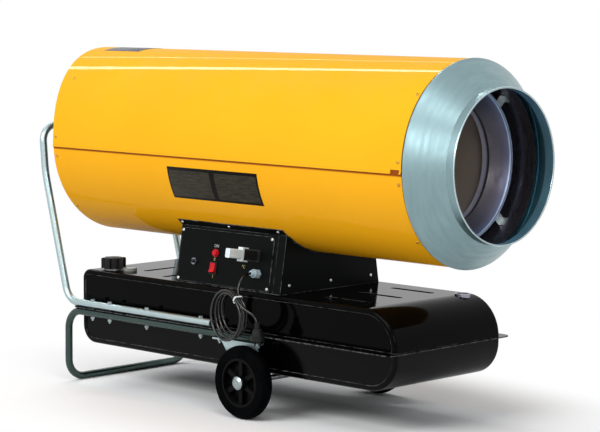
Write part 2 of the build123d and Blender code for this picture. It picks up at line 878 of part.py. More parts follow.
# ================================================================ cable gland
gland_reach = 28.0
gland_hole = cord_radius + 0.1
with BuildPart() as cable_gland:
    with BuildSketch(panel_face.offset(-14)):
        with Locations(gland_place):
            Circle(gland_neck)
    extrude(amount=14)
    with BuildSketch(panel_face):
        with Locations(gland_place):
            RegularPolygon(13.5, 6)
    extrude(amount=7)
    with BuildSketch(panel_face.offset(7)):
        with Locations(gland_place):
            Circle(12)
    extrude(amount=11)
    with BuildSketch(panel_face.offset(18)):
        with Locations(gland_place):
            Circle(10.5)
    extrude(amount=gland_reach - 18, taper=16)
    with BuildSketch(panel_face.offset(-14)):
        with Locations(gland_place):
            Circle(gland_hole)
    extrude(amount=14 + gland_reach, mode=Mode.SUBTRACT)

# ================================================================ tank
core_half = tank_half_width - bead_depth


def tank_side(inset, upper):
    """The side view of one tank half, drawn in by an inset."""
    rear = tank_rear + inset
    front = tank_front - inset
    if upper:
        edge = tank_top - inset
        nose = nose_radius - inset
        heel = rear_radius - inset
        sign = 1
    else:
        edge = tank_bottom + inset
        nose = nose_low_radius - inset
        heel = rear_low_radius - inset
        sign = -1
    with BuildSketch(Plane.XZ) as side:
        with BuildLine():
            foot = tank_seam
            FilletPolyline(
                (rear, foot), (rear, edge), (front, edge), (front, foot), radius=[heel, nose]
            )
            Line((front, foot), (rear, foot))
        make_face()
    return side.sketch.face()


cap_place = (cap_x, cap_y)
gauge_place = (gauge_x, gauge_y)
port_place = (port_x, port_y)
feed_place = (-150.0, 60.0)  # where the suction pipe leaves the tank
tank_neck = 20.0  # the filler hole
stem_radius = 7.0
port_neck = 12.0
pipe_radius = 4.0
flange_middle = (flange_rear + flange_front) / 2
slot_depth = 5.0
slot_width = 20.0
slot_pitch = 132.0
front_slot = (293.0, 449.0)
rear_slots = ((-466.0, -57.0, 124.0), (-329.0, -105.0, 124.0))


def tank_half(upper):
    """One pressed half of the tank, open at the seam, with its flange."""
    sign = 1 if upper else -1
    with BuildPart() as half:
        extrude(tank_side(0, upper), amount=tank_half_width, both=True)
        outline = half.edges().filter_by(
            lambda edge: abs(abs(edge.center().Y) - tank_half_width) < 0.1
            and abs(edge.center().Z - tank_seam) > 0.5
        )
        fillet(outline, tank_edge)
        for side in (-1, 1):
            recess = tank_side(bead_width, upper).moved(Location((0, side * tank_half_width, 0)))
            extrude(recess, amount=bead_depth, dir=(0, -side, 0), mode=Mode.SUBTRACT)
        with BuildSketch(Plane.XY.offset(tank_seam)):
            with Locations((flange_middle, 0)):
                RectangleRounded(flange_front - flange_rear, 2 * flange_half_width, flange_corner)
            for x in bolt_places + (bracket_bolt,):
                with Locations((x, frame_half), (x, -frame_half)):
                    Circle(bolt_radius + bolt_gap, mode=Mode.SUBTRACT)
        extrude(amount=sign * flange_sheet)
        extrude(
            tank_side(tank_wall, upper), amount=core_half - tank_wall, both=True, mode=Mode.SUBTRACT
        )
    return half


tank_lower = tank_half(False)
tank_shell = tank_half(True)


def each_slot(grow):
    """Draw the pressed slots of the tank's top, wider by a margin all round."""
    length = front_slot[1] - front_slot[0]
    for y in (-slot_pitch, 0, slot_pitch):
        with Locations(((front_slot[0] + front_slot[1]) / 2, y)):
            SlotOverall(length + 2 * grow, slot_width + 2 * grow)
    for x, y, long in rear_slots:
        with Locations((x, y)):
            SlotOverall(long + 2 * grow, slot_width + 2 * grow, rotation=90)


with BuildPart() as tank_upper:
    add(tank_shell.part)
    with BuildSketch(Plane.XY.offset(tank_top - slot_depth - tank_wall)):
        each_slot(tank_wall)
    extrude(amount=slot_depth + 0.5)
    with BuildSketch(Plane.XY.offset(tank_top - slot_depth)):
        each_slot(0)
    extrude(amount=slot_depth + 1, mode=Mode.SUBTRACT)
    with BuildSketch(Plane.XY.offset(tank_top - 20)):
        with Locations(cap_place):
            Circle(tank_neck + seat_gap)
        with Locations(gauge_place):
            Circle(stem_radius + seat_gap)
        with Locations(port_place):
            Circle(port_neck + seat_gap)
        with Locations(feed_place):
            Circle(pipe_radius + 2 + seat_gap)
    extrude(amount=30, mode=Mode.SUBTRACT)

# ================================================================ filler neck, strainer, cap
flare = 2.0
with BuildPart() as filler_neck:
    with BuildSketch(Plane.XY.offset(tank_top)):
        with Locations(cap_place):
            Circle(neck_radius + 9)
    extrude(amount=flare)
    with BuildSketch(Plane.XY.offset(tank_top - 6)):
        with Locations(cap_place):
            Circle(tank_neck)
    extrude(amount=6)
    with BuildSketch(Plane.XY.offset(tank_top + flare)):
        with Locations(cap_place):
            Circle(neck_radius)
    extrude(amount=neck_height - flare)
    with BuildSketch(Plane.XY.offset(tank_top - 6)):
        with Locations(cap_place):
            Circle(neck_radius - 4)
    extrude(amount=neck_height + 6, mode=Mode.SUBTRACT)

neck_top = tank_top + neck_height
strainer_radius = neck_radius - 4 - seat_gap
strainer_length = 88.0
with BuildPart() as strainer:
    with BuildSketch(Plane.XY.offset(neck_top)):
        with Locations(cap_place):
            Circle(neck_radius - 1)
            Circle(strainer_radius - 1, mode=Mode.SUBTRACT)
    extrude(amount=1)
    with BuildSketch(Plane.XY.offset(neck_top - strainer_length)):
        with Locations(cap_place):
            Circle(strainer_radius)
            Circle(strainer_radius - 1, mode=Mode.SUBTRACT)
    extrude(amount=strainer_length)
    with BuildSketch(Plane.XY.offset(neck_top - strainer_length - 1)):
        with Locations(cap_place):
            Circle(strainer_radius)
    extrude(amount=1)

gasket_sheet = 2.0
gasket_foot = neck_top + 1
cap_bore = neck_radius + 0.5
with BuildPart() as cap_gasket:
    with BuildSketch(Plane.XY.offset(gasket_foot)):
        with Locations(cap_place):
            Circle(neck_radius - 0.5)
            Circle(neck_radius - 10, mode=Mode.SUBTRACT)
    extrude(amount=gasket_sheet)

cap_top = tank_top + 35.0
cap_foot = tank_top + flare + 1.5
with BuildPart() as fuel_cap:
    for height, rise, slope in ((cap_foot, cap_top - cap_foot - 2, 0), (cap_top - 2, 2, 45)):
        with BuildSketch(Plane.XY.offset(height)):
            with Locations(cap_place):
                Circle(cap_radius)
                with PolarLocations(cap_radius + 2, 6):
                    Trapezoid(9, 13, 72, rotation=-90)
        extrude(amount=rise, taper=slope)
    with BuildSketch(Plane.XY.offset(cap_foot)):
        with Locations(cap_place):
            Circle(cap_bore)
    extrude(amount=gasket_foot + gasket_sheet - cap_foot, mode=Mode.SUBTRACT)

# ================================================================ fuel gauge
dial_height = 9.0
stem_length = 120.0
pivot_height = tank_top - stem_length + 8
with BuildPart() as gauge_body:
    with BuildSketch(Plane.XY.offset(tank_top)):
        with Locations(gauge_place):
            Circle(gauge_radius)
    extrude(amount=dial_height)
    with BuildSketch(Plane.XY.offset(tank_top + 3)):
        with Locations(gauge_place):
            Circle(gauge_radius - 2.5)
    extrude(amount=dial_height, mode=Mode.SUBTRACT)
    with BuildSketch(Plane.XY.offset(tank_top - stem_length)):
        with Locations(gauge_place):
            Circle(stem_radius)
    extrude(amount=stem_length)
    # a slot and a hinge hole for the float's arm
    with BuildSketch(Plane.XY.offset(tank_top - stem_length)):
        with Locations(gauge_place):
            Rectangle(2 * stem_radius + 2, 4)
    extrude(amount=30, mode=Mode.SUBTRACT)
    # the spindle bore of the pointer
    with BuildSketch(Plane.XY.offset(tank_top - 3)):
        with Locations(gauge_place):
            Circle(1.5 + running_gap)
    extrude(amount=6, mode=Mode.SUBTRACT)

pointer_foot = tank_top + 3.5
with BuildPart() as gauge_pointer:
    with BuildSketch(Plane.XY.offset(tank_top - 2.5)):
        with Locations(gauge_place):
            Circle(1.5)
    extrude(amount=6)
    with BuildSketch(Plane.XY.offset(pointer_foot)):
        with Locations(gauge_place):
            Circle(3)
        with Locations((gauge_x - 5.5, gauge_y)):
            Rectangle(15, 1.8)
    extrude(amount=1)

lens_foot = tank_top + dial_height - 2.5
with BuildPart() as gauge_lens:
    with BuildSketch(Plane.XY.offset(lens_foot)):
        with Locations(gauge_place):
            Circle(gauge_radius - 2.5 - 0.1)
    extrude(amount=2)

# the arm swings on a pin across the stem's slot
float_reach = 74.0
pin_radius = 1.6
float_pin = Plane((gauge_x, gauge_y, pivot_height), x_dir=(1, 0, 0), z_dir=(0, -1, 0))
with BuildPart() as gauge_fork:
    add(gauge_body.part)
    with BuildSketch(float_pin.offset(-stem_radius)):
        Circle(pin_radius + running_gap)
    extrude(amount=2 * stem_radius, mode=Mode.SUBTRACT)
gauge_body = gauge_fork
with BuildPart() as float_arm:
    with BuildSketch(float_pin.offset(-stem_radius + 1)):
        Circle(pin_radius)
    extrude(amount=2 * stem_radius - 2)
    with BuildSketch(float_pin.offset(-1.5)):
        with Locations((float_reach / 2, 0)):
            SlotOverall(float_reach, 6)
    extrude(amount=3)
    with BuildSketch(float_pin.offset(-14)):
        with Locations((float_reach, 0)):
            Circle(17)
    extrude(amount=28)

# ================================================================ tank port
with BuildPart() as tank_port:
    with BuildSketch(Plane.XY.offset(tank_top - 22)):
        with Locations(port_place):
            Circle(port_neck)
    extrude(amount=26)
    with BuildSketch(Plane.XY.offset(tank_top - 12)):
        with Locations(port_place):
            Circle(port_radius)
    extrude(amount=16)
    with BuildSketch(Plane.XY.offset(tank_top + 1)):
        with Locations(port_place):
            Circle(port_radius - 5)
    extrude(amount=5, mode=Mode.SUBTRACT)
    # the collar's foot follows the tank's shoulder
    bed = tank_side(-0.1, True)
    extrude(bed, amount=core_half, both=True, mode=Mode.SUBTRACT)
    with BuildSketch(Plane.XY.offset(tank_top - 22)):
        with Locations(port_place):
            Circle(port_neck)
    extrude(amount=22)

# ================================================================ suction pipe
fitting_height = 30.0
fitting_top = tank_top + fitting_height
with BuildPart() as suction_pipe:
    with BuildSketch(Plane.XY.offset(tank_bottom + 16)):
        with Locations(feed_place):
            Circle(pipe_radius)
    extrude(amount=fitting_top - tank_bottom - 16)
    with BuildSketch(Plane.XY.offset(tank_top)):
        with Locations(feed_place):
            RegularPolygon(15, 6)
    extrude(amount=8)
    with BuildSketch(Plane.XY.offset(tank_top - 6)):
        with Locations(feed_place):
            Circle(pipe_radius + 2)
    extrude(amount=24)

# ================================================================ fuel lines
line_radius = 3.0
supply_radius = 4.0
supply_side = 60.0
line_clear = 19.0  # between the barrel and the line that lies on its floor
supply_height = axis_height - math.sqrt((barrel_radius - line_clear) ** 2 - supply_side**2)
pump_middle = pump_rear + pump_length / 2
line_rise = 45.0  # above the fitting, before it turns back
supply_x = feed_place[0] - 65.0
pump_inlet = 20.0
inlet_drop = 90.0
supply_route = [
    (feed_place[0], feed_place[1], fitting_top),
    (feed_place[0], supply_side, fitting_top + line_rise),
    (supply_x, supply_side, fitting_top + line_rise),
    (supply_x, supply_side, supply_height),
    (pump_middle, supply_side, supply_height),
    (pump_middle, pump_inlet, supply_height + inlet_drop),
    (pump_middle, pump_inlet, axis_height - pump_height / 2),
]
valve_height = axis_height + (pump_height + valve_size) / 2
valve_clear = 28.0  # between the barrel and the line that passes the fan
valve_side = math.sqrt((barrel_radius - valve_clear) ** 2 - (valve_height - axis_height) ** 2)
line_turn = blast_rear - 20
pressure_route = [
    (pump_middle, valve_size / 2, valve_height),
    (pump_middle, valve_side, valve_height),
    (line_turn, valve_side, valve_height),
    (line_turn, 0, axis_height),
    (nozzle_rear, 0, axis_height),
]


def pipe_run(points, bends, radius):
    """A solid pipe along straight runs joined by bends."""
    with BuildPart() as run:
        with BuildLine() as route:
            FilletPolyline(*points, radius=bends)
        start = Plane(route.line @ 0, z_dir=route.line % 0)
        with BuildSketch(start):
            Circle(radius)
        sweep(path=route.line)
    return run.part


with BuildPart() as fuel_lines:
    add(pipe_run(supply_route, [14, 14, 14, 16, 14], supply_radius))
    add(pipe_run(pressure_route, [18, 18, 10], line_radius))

line_hole = 0.4
shell_floor = axis_height - math.sqrt(barrel_radius**2 - supply_side**2)
with BuildPart(mode=Mode.PRIVATE) as line_holes:
    with BuildSketch(Plane((supply_x, supply_side, shell_floor))):
        Circle(supply_radius + line_hole)
    extrude(amount=3 * barrel_sheet, both=True)
    with BuildSketch(across(fan_plane - 40)):
        with Locations((supply_side, supply_height - axis_height)):
            Circle(supply_radius + line_hole)
        with Locations((valve_side, valve_height - axis_height)):
            Circle(line_radius + line_hole)
    extrude(amount=90)
with BuildPart() as lower_shell:
    add(lower_sheet.part - line_holes.part)
with BuildPart() as fan_ring:
    add(ring_pressing.part - line_holes.part)

# ================================================================ transformer
with BuildPart() as ignition_transformer:
    with BuildSketch(Plane.XY.offset(tank_top)):
        with Locations((40, 95)):
            Rectangle(124, 60)
    extrude(amount=3)
    with BuildSketch(Plane.XY.offset(tank_top + 3)):
        with Locations((40, 95)):
            RectangleRounded(96, 60, 5)
    extrude(amount=52)
    with BuildSketch(Plane.XY.offset(tank_top + 55)):
        with Locations((40, 95)):
            with GridLocations(44, 1, 2, 1):
                Circle(8)
    extrude(amount=14)

# ================================================================ frames
upper_run = tank_seam + flange_sheet + tube_radius
lower_run = tank_seam - flange_sheet - tube_radius
tube_inner = tube_radius - tube_wall


def bent_tube(points, bends, drilled):
    """A round tube along straight runs joined by bends, drilled through for its bolts."""
    with BuildPart() as tube:
        with BuildLine() as route:
            FilletPolyline(*points, radius=bends)
        start = Plane(route.line @ 0, z_dir=route.line % 0)
        with BuildSketch(start):
            ring_face(tube_radius, tube_inner)
        sweep(path=route.line)
        with BuildSketch(Plane.XY.offset(lower_run - 2 * tube_radius)):
            for x in drilled:
                with Locations((x, frame_half), (x, -frame_half)):
                    Circle(bolt_radius + bolt_gap)
        extrude(amount=upper_run - lower_run + 4 * tube_radius, mode=Mode.SUBTRACT)
    return tube


handle_x, handle_height = handle_top
handle_points = [
    (handle_front, -frame_half, upper_run),
    (handle_corner, -frame_half, upper_run),
    (handle_knee[0], -frame_half, handle_knee[1]),
    (handle_x, -frame_half, handle_height),
    (handle_x, frame_half, handle_height),
    (handle_knee[0], frame_half, handle_knee[1]),
    (handle_corner, frame_half, upper_run),
    (handle_front, frame_half, upper_run),
]
handle_bends = [58, 300, 50, 50, 300, 58]
handle_frame = bent_tube(handle_points, handle_bends, bolt_places)
stand_points = [
    (stand_front, -frame_half, lower_run),
    (stand_leg, -frame_half, lower_run),
    (stand_leg - 2, -frame_half, tube_radius),
    (stand_leg - 2, frame_half, tube_radius),
    (stand_leg, frame_half, lower_run),
    (stand_front, frame_half, lower_run),
]
stand_frame = bent_tube(stand_points, [stand_bend] * 4, bolt_places + (bracket_bolt,))

# ================================================================ bolts
head_across = 6.5
nut_height = 6.5
bracket_rear, bracket_front = -36.0, 146.0
with BuildPart() as frame_bolts:
    for x in bolt_places + (bracket_bolt,):
        through_bracket = bracket_rear < x < bracket_front
        top = upper_run + tube_radius if x < handle_front else tank_seam + flange_sheet
        foot = lower_run - tube_radius - (bracket_sheet if through_bracket else 0)
        spots = [(x, frame_half), (x, -frame_half)]
        with BuildSketch(Plane.XY.offset(top)):
            with Locations(*spots):
                RegularPolygon(head_across, 6)
        extrude(amount=5.5)
        with BuildSketch(Plane.XY.offset(foot - nut_height - 5)):
            with Locations(*spots):
                Circle(bolt_radius)
        extrude(amount=top - foot + nut_height + 5)
        with BuildSketch(Plane.XY.offset(foot)):
            with Locations(*spots):
                RegularPolygon(head_across, 6)
        extrude(amount=-nut_height)

# ================================================================ axle and brackets
wheel_height = wheel_radius
web_foot = lower_run - tube_radius - bracket_sheet
web_face = frame_half + web_reach
with BuildPart() as axle_brackets:
    for side in (-1, 1):
        with BuildSketch(Plane.XY.offset(web_foot)):
            with Locations(((bracket_rear + bracket_front) / 2, side * frame_half)):
                Rectangle(bracket_front - bracket_rear, 2 * tube_radius)
            for x in bolt_places + (bracket_bolt,):
                with Locations((x, side * frame_half)):
                    Circle(bolt_radius + bolt_gap, mode=Mode.SUBTRACT)
        extrude(amount=bracket_sheet)
        with BuildSketch(Plane((0, side * web_face, 0), x_dir=(1, 0, 0), z_dir=(0, side, 0))):
            with BuildLine():
                flip = -side
                low = wheel_height - 18
                Polyline(
                    (bracket_rear + 36, flip * (web_foot + 1)),
                    (bracket_front, flip * (web_foot + 1)),
                    (wheel_place + 18, flip * low),
                    (wheel_place - 18, flip * low),
                    close=True,
                )
            make_face()
            with Locations((wheel_place, flip * wheel_height)):
                Circle(axle_radius + 0.2, mode=Mode.SUBTRACT)
        extrude(amount=bracket_sheet)
with BuildPart() as axle:
    with BuildSketch(Plane((wheel_place, 0, wheel_height), x_dir=(1, 0, 0), z_dir=(0, 1, 0))):
        Circle(axle_radius)
    extrude(amount=wheel_outer + 8, both=True)

# ================================================================ wheels
wheel_inner = wheel_outer - wheel_width
wheel_axis = Axis((wheel_place, 0, wheel_height), (0, 1, 0))
wheel_profile = Plane((wheel_place, 0, wheel_height), x_dir=(0, 1, 0), z_dir=(1, 0, 0))
boss_radius = 19.0
boss_inner = web_face + bracket_sheet + 0.5
spoke_count = 6


def tyre(side):
    """A solid rubber tyre on one side of the trolley."""
    with BuildPart() as tyre_ring:
        with BuildSketch(wheel_profile):
            with BuildLine():
                shoulder = wheel_radius - 9
                near, far = side * wheel_inner, side * wheel_outer
                crown = side * (wheel_inner + wheel_width / 2)
                Polyline((near, shoulder), (near, rim_radius), (far, rim_radius), (far, shoulder))
                ThreePointArc((far, shoulder), (crown, wheel_radius), (near, shoulder))
            make_face()
        revolve(axis=wheel_axis)
    return tyre_ring


def hub(side):
    """A spoked hub that carries the tyre and turns on the axle."""
    with BuildPart() as spoked:
        with BuildSketch(wheel_profile):
            rim_outer = rim_radius - 0.1
            with Locations((side * (wheel_inner + wheel_width / 2), rim_outer - 3.5)):
                Rectangle(wheel_width - 2, 7)
            boss_middle = side * (boss_inner + wheel_outer) / 2
            bore = axle_radius + running_gap
            with Locations((boss_middle, (bore + boss_radius) / 2)):
                Rectangle(wheel_outer - boss_inner, boss_radius - bore)
        revolve(axis=wheel_axis)
        spoke_inner = boss_radius - 2
        spoke_outer = rim_radius - 6
        face = side * (wheel_outer - 20)
        with BuildSketch(Plane((wheel_place, face, wheel_height), x_dir=(1, 0, 0), z_dir=(0, side, 0))):
            with PolarLocations((spoke_inner + spoke_outer) / 2, spoke_count, start_angle=90):
                Rectangle(spoke_outer - spoke_inner, 13)
        extrude(amount=12)
    return spoked


right_tyre = tyre(-1)
left_tyre = tyre(1)
right_hub = hub(-1)
left_hub = hub(1)

cap_gap = 0.3
with BuildPart() as hub_caps:
    for side in (-1, 1):
        with BuildSketch(wheel_profile):
            inner = wheel_outer + cap_gap
            with BuildLine():
                Polyline(
                    (side * inner, axle_radius + 0.05),
                    (side * inner, boss_radius - 0.5),
                    (side * (inner + 5), boss_radius - 0.5),
                    (side * (inner + 10), boss_radius - 7),
                    (side * (inner + 11.7), 0),
                    (side * (wheel_outer + 8), 0),
                    (side * (wheel_outer + 8), axle_radius + 0.05),
                    close=True,
                )
            make_face()
        revolve(axis=wheel_axis)

# ================================================================ mains cord
coil_stand = 41.5  # from the frame's tubes out to the middle of the coil
coil_middle = Vector(66, -frame_half - coil_stand, 281)
tie_angle = math.radians(53)
coil_turn = math.radians(10)  # how far the loops turn away from the heater's side
coil_level = Vector(math.cos(coil_turn), -math.sin(coil_turn), 0)
coil_side = Vector(math.sin(coil_turn), math.cos(coil_turn), 0)
tie_out = coil_level * math.cos(tie_angle) + Vector(0, 0, math.sin(tie_angle))
tie_along = coil_level * math.sin(tie_angle) - Vector(0, 0, math.cos(tie_angle))
loop_sizes = (114.0, 107.5, 117.5, 125.0, 130.5)
tie_middle = coil_middle + tie_out * 65
strand_pitch = 7.8
row = strand_pitch / 2
strands = (
    tie_middle + tie_out * row + coil_side * strand_pitch,
    tie_middle - tie_out * row + coil_side * strand_pitch,
    tie_middle - tie_out * row,
    tie_middle + tie_out * row,
    tie_middle - tie_out * row - coil_side * strand_pitch,
    tie_middle + tie_out * row - coil_side * strand_pitch,
)
spread = (15.5, 8.0, 2.0, -5.5, -18.0)
strand_half = 6.0


def biarc(start, start_way, end, end_way):
    """Two arcs that leave start one way and reach end another way."""
    reach = end - start
    both = start_way + end_way
    a = 2 * (1 - start_way.dot(end_way))
    b = 2 * reach.dot(both)
    c = -reach.dot(reach)
    leg = (-b + math.sqrt(b * b - 4 * a * c)) / (2 * a)
    joint = (start + start_way * leg + end - end_way * leg) * 0.5
    first = TangentArc(start, joint, tangent=start_way)
    TangentArc(joint, end, tangent=first % 1)


def smallest_radius(edges):
    """The tightest bend of a line of edges."""
    return min(edge.radius for edge in edges if edge.geom_type == GeomType.CIRCLE)


def round_wire(route, radius):
    """A solid round wire along a route."""
    with BuildPart() as wire:
        with BuildSketch(Plane(route @ 0, z_dir=route % 0)):
            Circle(radius)
        sweep(path=route)
    return wire


with BuildLine() as coil_route:
    coil_start = strands[0] + tie_along * strand_half
    spot = strands[0] + tie_along * (strand_half + 2 * cord_radius)
    Line(coil_start, spot)
    for i in range(coil_turns):
        far = tie_middle - tie_out * loop_sizes[i] + coil_side * spread[i]
        biarc(spot, tie_along, far, -tie_along)
        last = i == coil_turns - 1
        back = strands[i + 1] - tie_along * strand_half
        biarc(far, -tie_along, back, tie_along)
        ahead = strands[i + 1] + tie_along * (1.0 if last else strand_half)
        Line(back, ahead)
        spot = ahead
coil_end = spot
coil_path = coil_route.wire()
cord_coil = round_wire(coil_path, cord_radius)

gland_exit = panel_face.from_local_coords(Vector(gland_place[0], gland_place[1], gland_reach))
gland_way = panel_face.z_dir
lead_points = [
    gland_exit - gland_way * 10,
    gland_exit + gland_way * 28,
    strands[0] - tie_along * 22,
    coil_start,
]
plug_top = Vector(180, -frame_half - 47, 276)
tail_drop = plug_top + Vector(0, 0, 14)
tail_points = [
    coil_end,
    coil_end + tie_along * 40,
    tail_drop,
    plug_top - Vector(0, 0, 16),
]


def bend_radii(points):
    """The radius of each bend: 0.45 of the shorter run over the tangent of half the turn."""
    radii = []
    for before, here, after in zip(points, points[1:], points[2:]):
        first = here - before
        second = after - here
        turn = math.radians(first.get_angle(second))
        radii.append(0.45 * min(first.length, second.length) / math.tan(turn / 2))
    return radii


def cord_piece(points, name):
    """One free stretch of the cord."""
    radii = bend_radii(points)
    with BuildLine() as route:
        FilletPolyline(*points, radius=radii)
    path = route.wire()
    piece = round_wire(path, cord_radius)
    section = math.pi * cord_radius**2 * path.length
    print(name, "radii", [round(r, 1) for r in radii], "length", round(path.length, 1))
    print(name, "volume against section times length", round(piece.part.volume / section, 4))
    return piece, path


cord_lead, lead_line = cord_piece(lead_points, "cord_lead")
cord_tail, tail_line = cord_piece(tail_points, "cord_tail")
coil_section = math.pi * cord_radius**2 * coil_path.length
print("cord_coil length", round(coil_path.length, 1))
print("cord_coil tightest bend", round(smallest_radius(coil_path.edges()), 1))
print("cord_coil volume against section times length", round(cord_coil.part.volume / coil_section, 4))
cord_length = lead_line.length + coil_path.length + tail_line.length
print("cord length", round(cord_length))

# the nearest two places of the wound cord, leaving out neighbours along it
steps = 900
track = [coil_path.position_at(i / steps) for i in range(steps + 1)]
step = coil_path.length / steps
skip = int(60 / step)
nearest = min(
    (track[i] - track[j]).length for i in range(steps + 1) for j in range(i + skip, steps + 1)
)
print("cord_coil gap to itself", round(nearest - 2 * cord_radius, 2))

plug_radius = 19.0
with BuildPart() as mains_plug:
    plug_plane = Plane((plug_top.X, plug_top.Y, 0))
    with BuildSketch(plug_plane.offset(plug_top.Z - 22)):
        Circle(8)
    extrude(amount=22)
    with BuildSketch(plug_plane.offset(plug_top.Z - 40)):
        Circle(16.5)
    extrude(amount=22, taper=12)
    with BuildSketch(plug_plane.offset(plug_top.Z - 50)):
        Circle(plug_radius)
    extrude(amount=14)
    with BuildSketch(plug_plane.offset(plug_top.Z - 16)):
        Circle(cord_radius + 0.1)
    extrude(amount=20, mode=Mode.SUBTRACT)
    with BuildSketch(plug_plane.offset(plug_top.Z - 50 - 15)):
        with GridLocations(19, 1, 2, 1):
            Circle(2.4)
    extrude(amount=15.5)

band_y = strand_pitch + cord_radius + seat_gap
band_out = row + cord_radius + seat_gap
band_sheet = 1.3
tie_plane = Plane(tie_middle - tie_along * 2.4, x_dir=coil_side, z_dir=tie_along)
with BuildPart() as cable_tie:
    with BuildSketch(tie_plane):
        RectangleRounded(2 * band_y + 2 * band_sheet, 2 * band_out + 2 * band_sheet, 4.4)
        RectangleRounded(2 * band_y, 2 * band_out, 3.6, mode=Mode.SUBTRACT)
    extrude(amount=4.8)
    with BuildSketch(tie_plane.offset(-1)):
        with Locations((-4, -band_out - band_sheet - 2)):
            Rectangle(8, 5.2)
    extrude(amount=6.8)

pieces = {
    "upper_shell": upper_shell,
    "lower_shell": lower_shell,
    "shell_screws": shell_screws,
    "outlet_cone": outlet_cone,
    "heat_shield": heat_shield,
    "combustion_chamber": combustion_chamber,
    "chamber_brackets": chamber_brackets,
    "flame_disc": flame_disc,
    "blast_tube": blast_tube,
    "nozzle_holder": nozzle_holder,
    "electrodes": electrodes,
    "photocell": photocell,
    "fan_ring": fan_ring,
    "fan": fan,
    "motor_shaft": motor_shaft,
    "fan_motor": fan_motor,
    "motor_bracket": motor_bracket,
    "fuel_pump": fuel_pump,
    "fuel_lines": fuel_lines,
    "rear_guard": rear_guard,
    "ignition_transformer": ignition_transformer,
    "housing": housing,
    "housing_screws": housing_screws,
    "control_panel": control_panel,
    "panel_screws": panel_screws,
    "indicator_lamp": indicator_lamp,
    "switch_frame": switch_frame,
    "rocker": rocker,
    "reset_nut": reset_nut,
    "reset_button": reset_button,
    "thermostat_socket": thermostat_socket,
    "thermostat_plug": thermostat_plug,
    "cable_gland": cable_gland,
    "tank_upper": tank_upper,
    "tank_lower": tank_lower,
    "filler_neck": filler_neck,
    "strainer": strainer,
    "fuel_cap": fuel_cap,
    "cap_gasket": cap_gasket,
    "gauge_body": gauge_body,
    "gauge_lens": gauge_lens,
    "gauge_pointer": gauge_pointer,
    "float_arm": float_arm,
    "tank_port": tank_port,
    "suction_pipe": suction_pipe,
    "handle_frame": handle_frame,
    "stand_frame": stand_frame,
    "frame_bolts": frame_bolts,
    "axle_brackets": axle_brackets,
    "axle": axle,
    "right_tyre": right_tyre,
    "right_hub": right_hub,
    "left_tyre": left_tyre,
    "left_hub": left_hub,
    "hub_caps": hub_caps,
    "cord_lead": cord_lead,
    "cord_coil": cord_coil,
    "cord_tail": cord_tail,
    "mains_plug": mains_plug,
    "cable_tie": cable_tie,
}
for name, piece in pieces.items():
    piece.part.label = name
    export_step(piece.part, f"parts/{name}.step")
print(len(pieces), "pieces written")
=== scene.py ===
# %% [markdown]
# # A forced air heater
#
# This lesson dresses the metal model of a large workshop heater: a yellow barrel with a
# galvanised cone, a black fuel tank, a control panel and a pair of wheels. The solid pieces
# come ready made and stay where they are. Here they get their paint, zinc, rubber and
# wear, and the small things that are easier to model as a mesh are added.

# %% Load the fixed frame
import math

import bmesh
import bpy
from mathutils import Matrix, Vector


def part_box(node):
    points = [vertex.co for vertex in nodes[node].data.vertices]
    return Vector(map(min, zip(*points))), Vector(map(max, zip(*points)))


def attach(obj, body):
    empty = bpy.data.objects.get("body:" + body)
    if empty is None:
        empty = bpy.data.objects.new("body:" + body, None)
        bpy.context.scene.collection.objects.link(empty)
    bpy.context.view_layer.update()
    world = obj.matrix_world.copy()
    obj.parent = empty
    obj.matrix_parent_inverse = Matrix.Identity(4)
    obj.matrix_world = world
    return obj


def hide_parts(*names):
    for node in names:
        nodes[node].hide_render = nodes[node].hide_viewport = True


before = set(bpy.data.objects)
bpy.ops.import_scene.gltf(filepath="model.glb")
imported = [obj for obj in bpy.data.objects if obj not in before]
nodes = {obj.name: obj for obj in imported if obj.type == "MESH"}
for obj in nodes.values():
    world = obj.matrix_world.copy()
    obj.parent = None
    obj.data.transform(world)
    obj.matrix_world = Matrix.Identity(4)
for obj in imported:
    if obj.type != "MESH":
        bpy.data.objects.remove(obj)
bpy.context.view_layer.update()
scene = bpy.context.scene
undercoats = {material.name for material in bpy.data.materials}  # what the solids come in

# %% [markdown]
# ## The camera
#
# A photograph taken from six metres with a long lens shows little perspective. The camera's
# place and direction decide every outline in the picture, so they come before any finish.
# The camera is turned by three plain angles: how far round the heater it stands, how
# far down it looks, and how much it leans.

# %% Camera
PHOTO_WIDTH = 600
FOCAL_PIXELS = 2177.47
EYE = Vector((4.341, -4.3831, 1.1741))
ROUND, DOWN, LEAN = (math.radians(a) for a in (44.31, 5.94, 0.15))
SENSOR_WIDTH = 36.0
FAR_CLIP = 200.0

lens = bpy.data.cameras.new("camera")
lens.sensor_width = SENSOR_WIDTH
lens.lens = FOCAL_PIXELS / PHOTO_WIDTH * SENSOR_WIDTH
lens.clip_end = FAR_CLIP
camera = bpy.data.objects.new("camera", lens)
scene.collection.objects.link(camera)
turn = Matrix.Rotation(ROUND, 4, "Z") @ Matrix.Rotation(math.pi / 2 - DOWN, 4, "X")
camera.matrix_world = Matrix.Translation(EYE) @ turn @ Matrix.Rotation(LEAN, 4, "Z")
scene.camera = camera
print("lens", round(lens.lens, 1), "mm")

# %% [markdown]
# ## The control panel's own directions
#
# The panel leans back, so what is printed or fixed on it needs a point on its face and
# three directions: along it, up it, and out of it. Everything on the panel is placed with
# these.

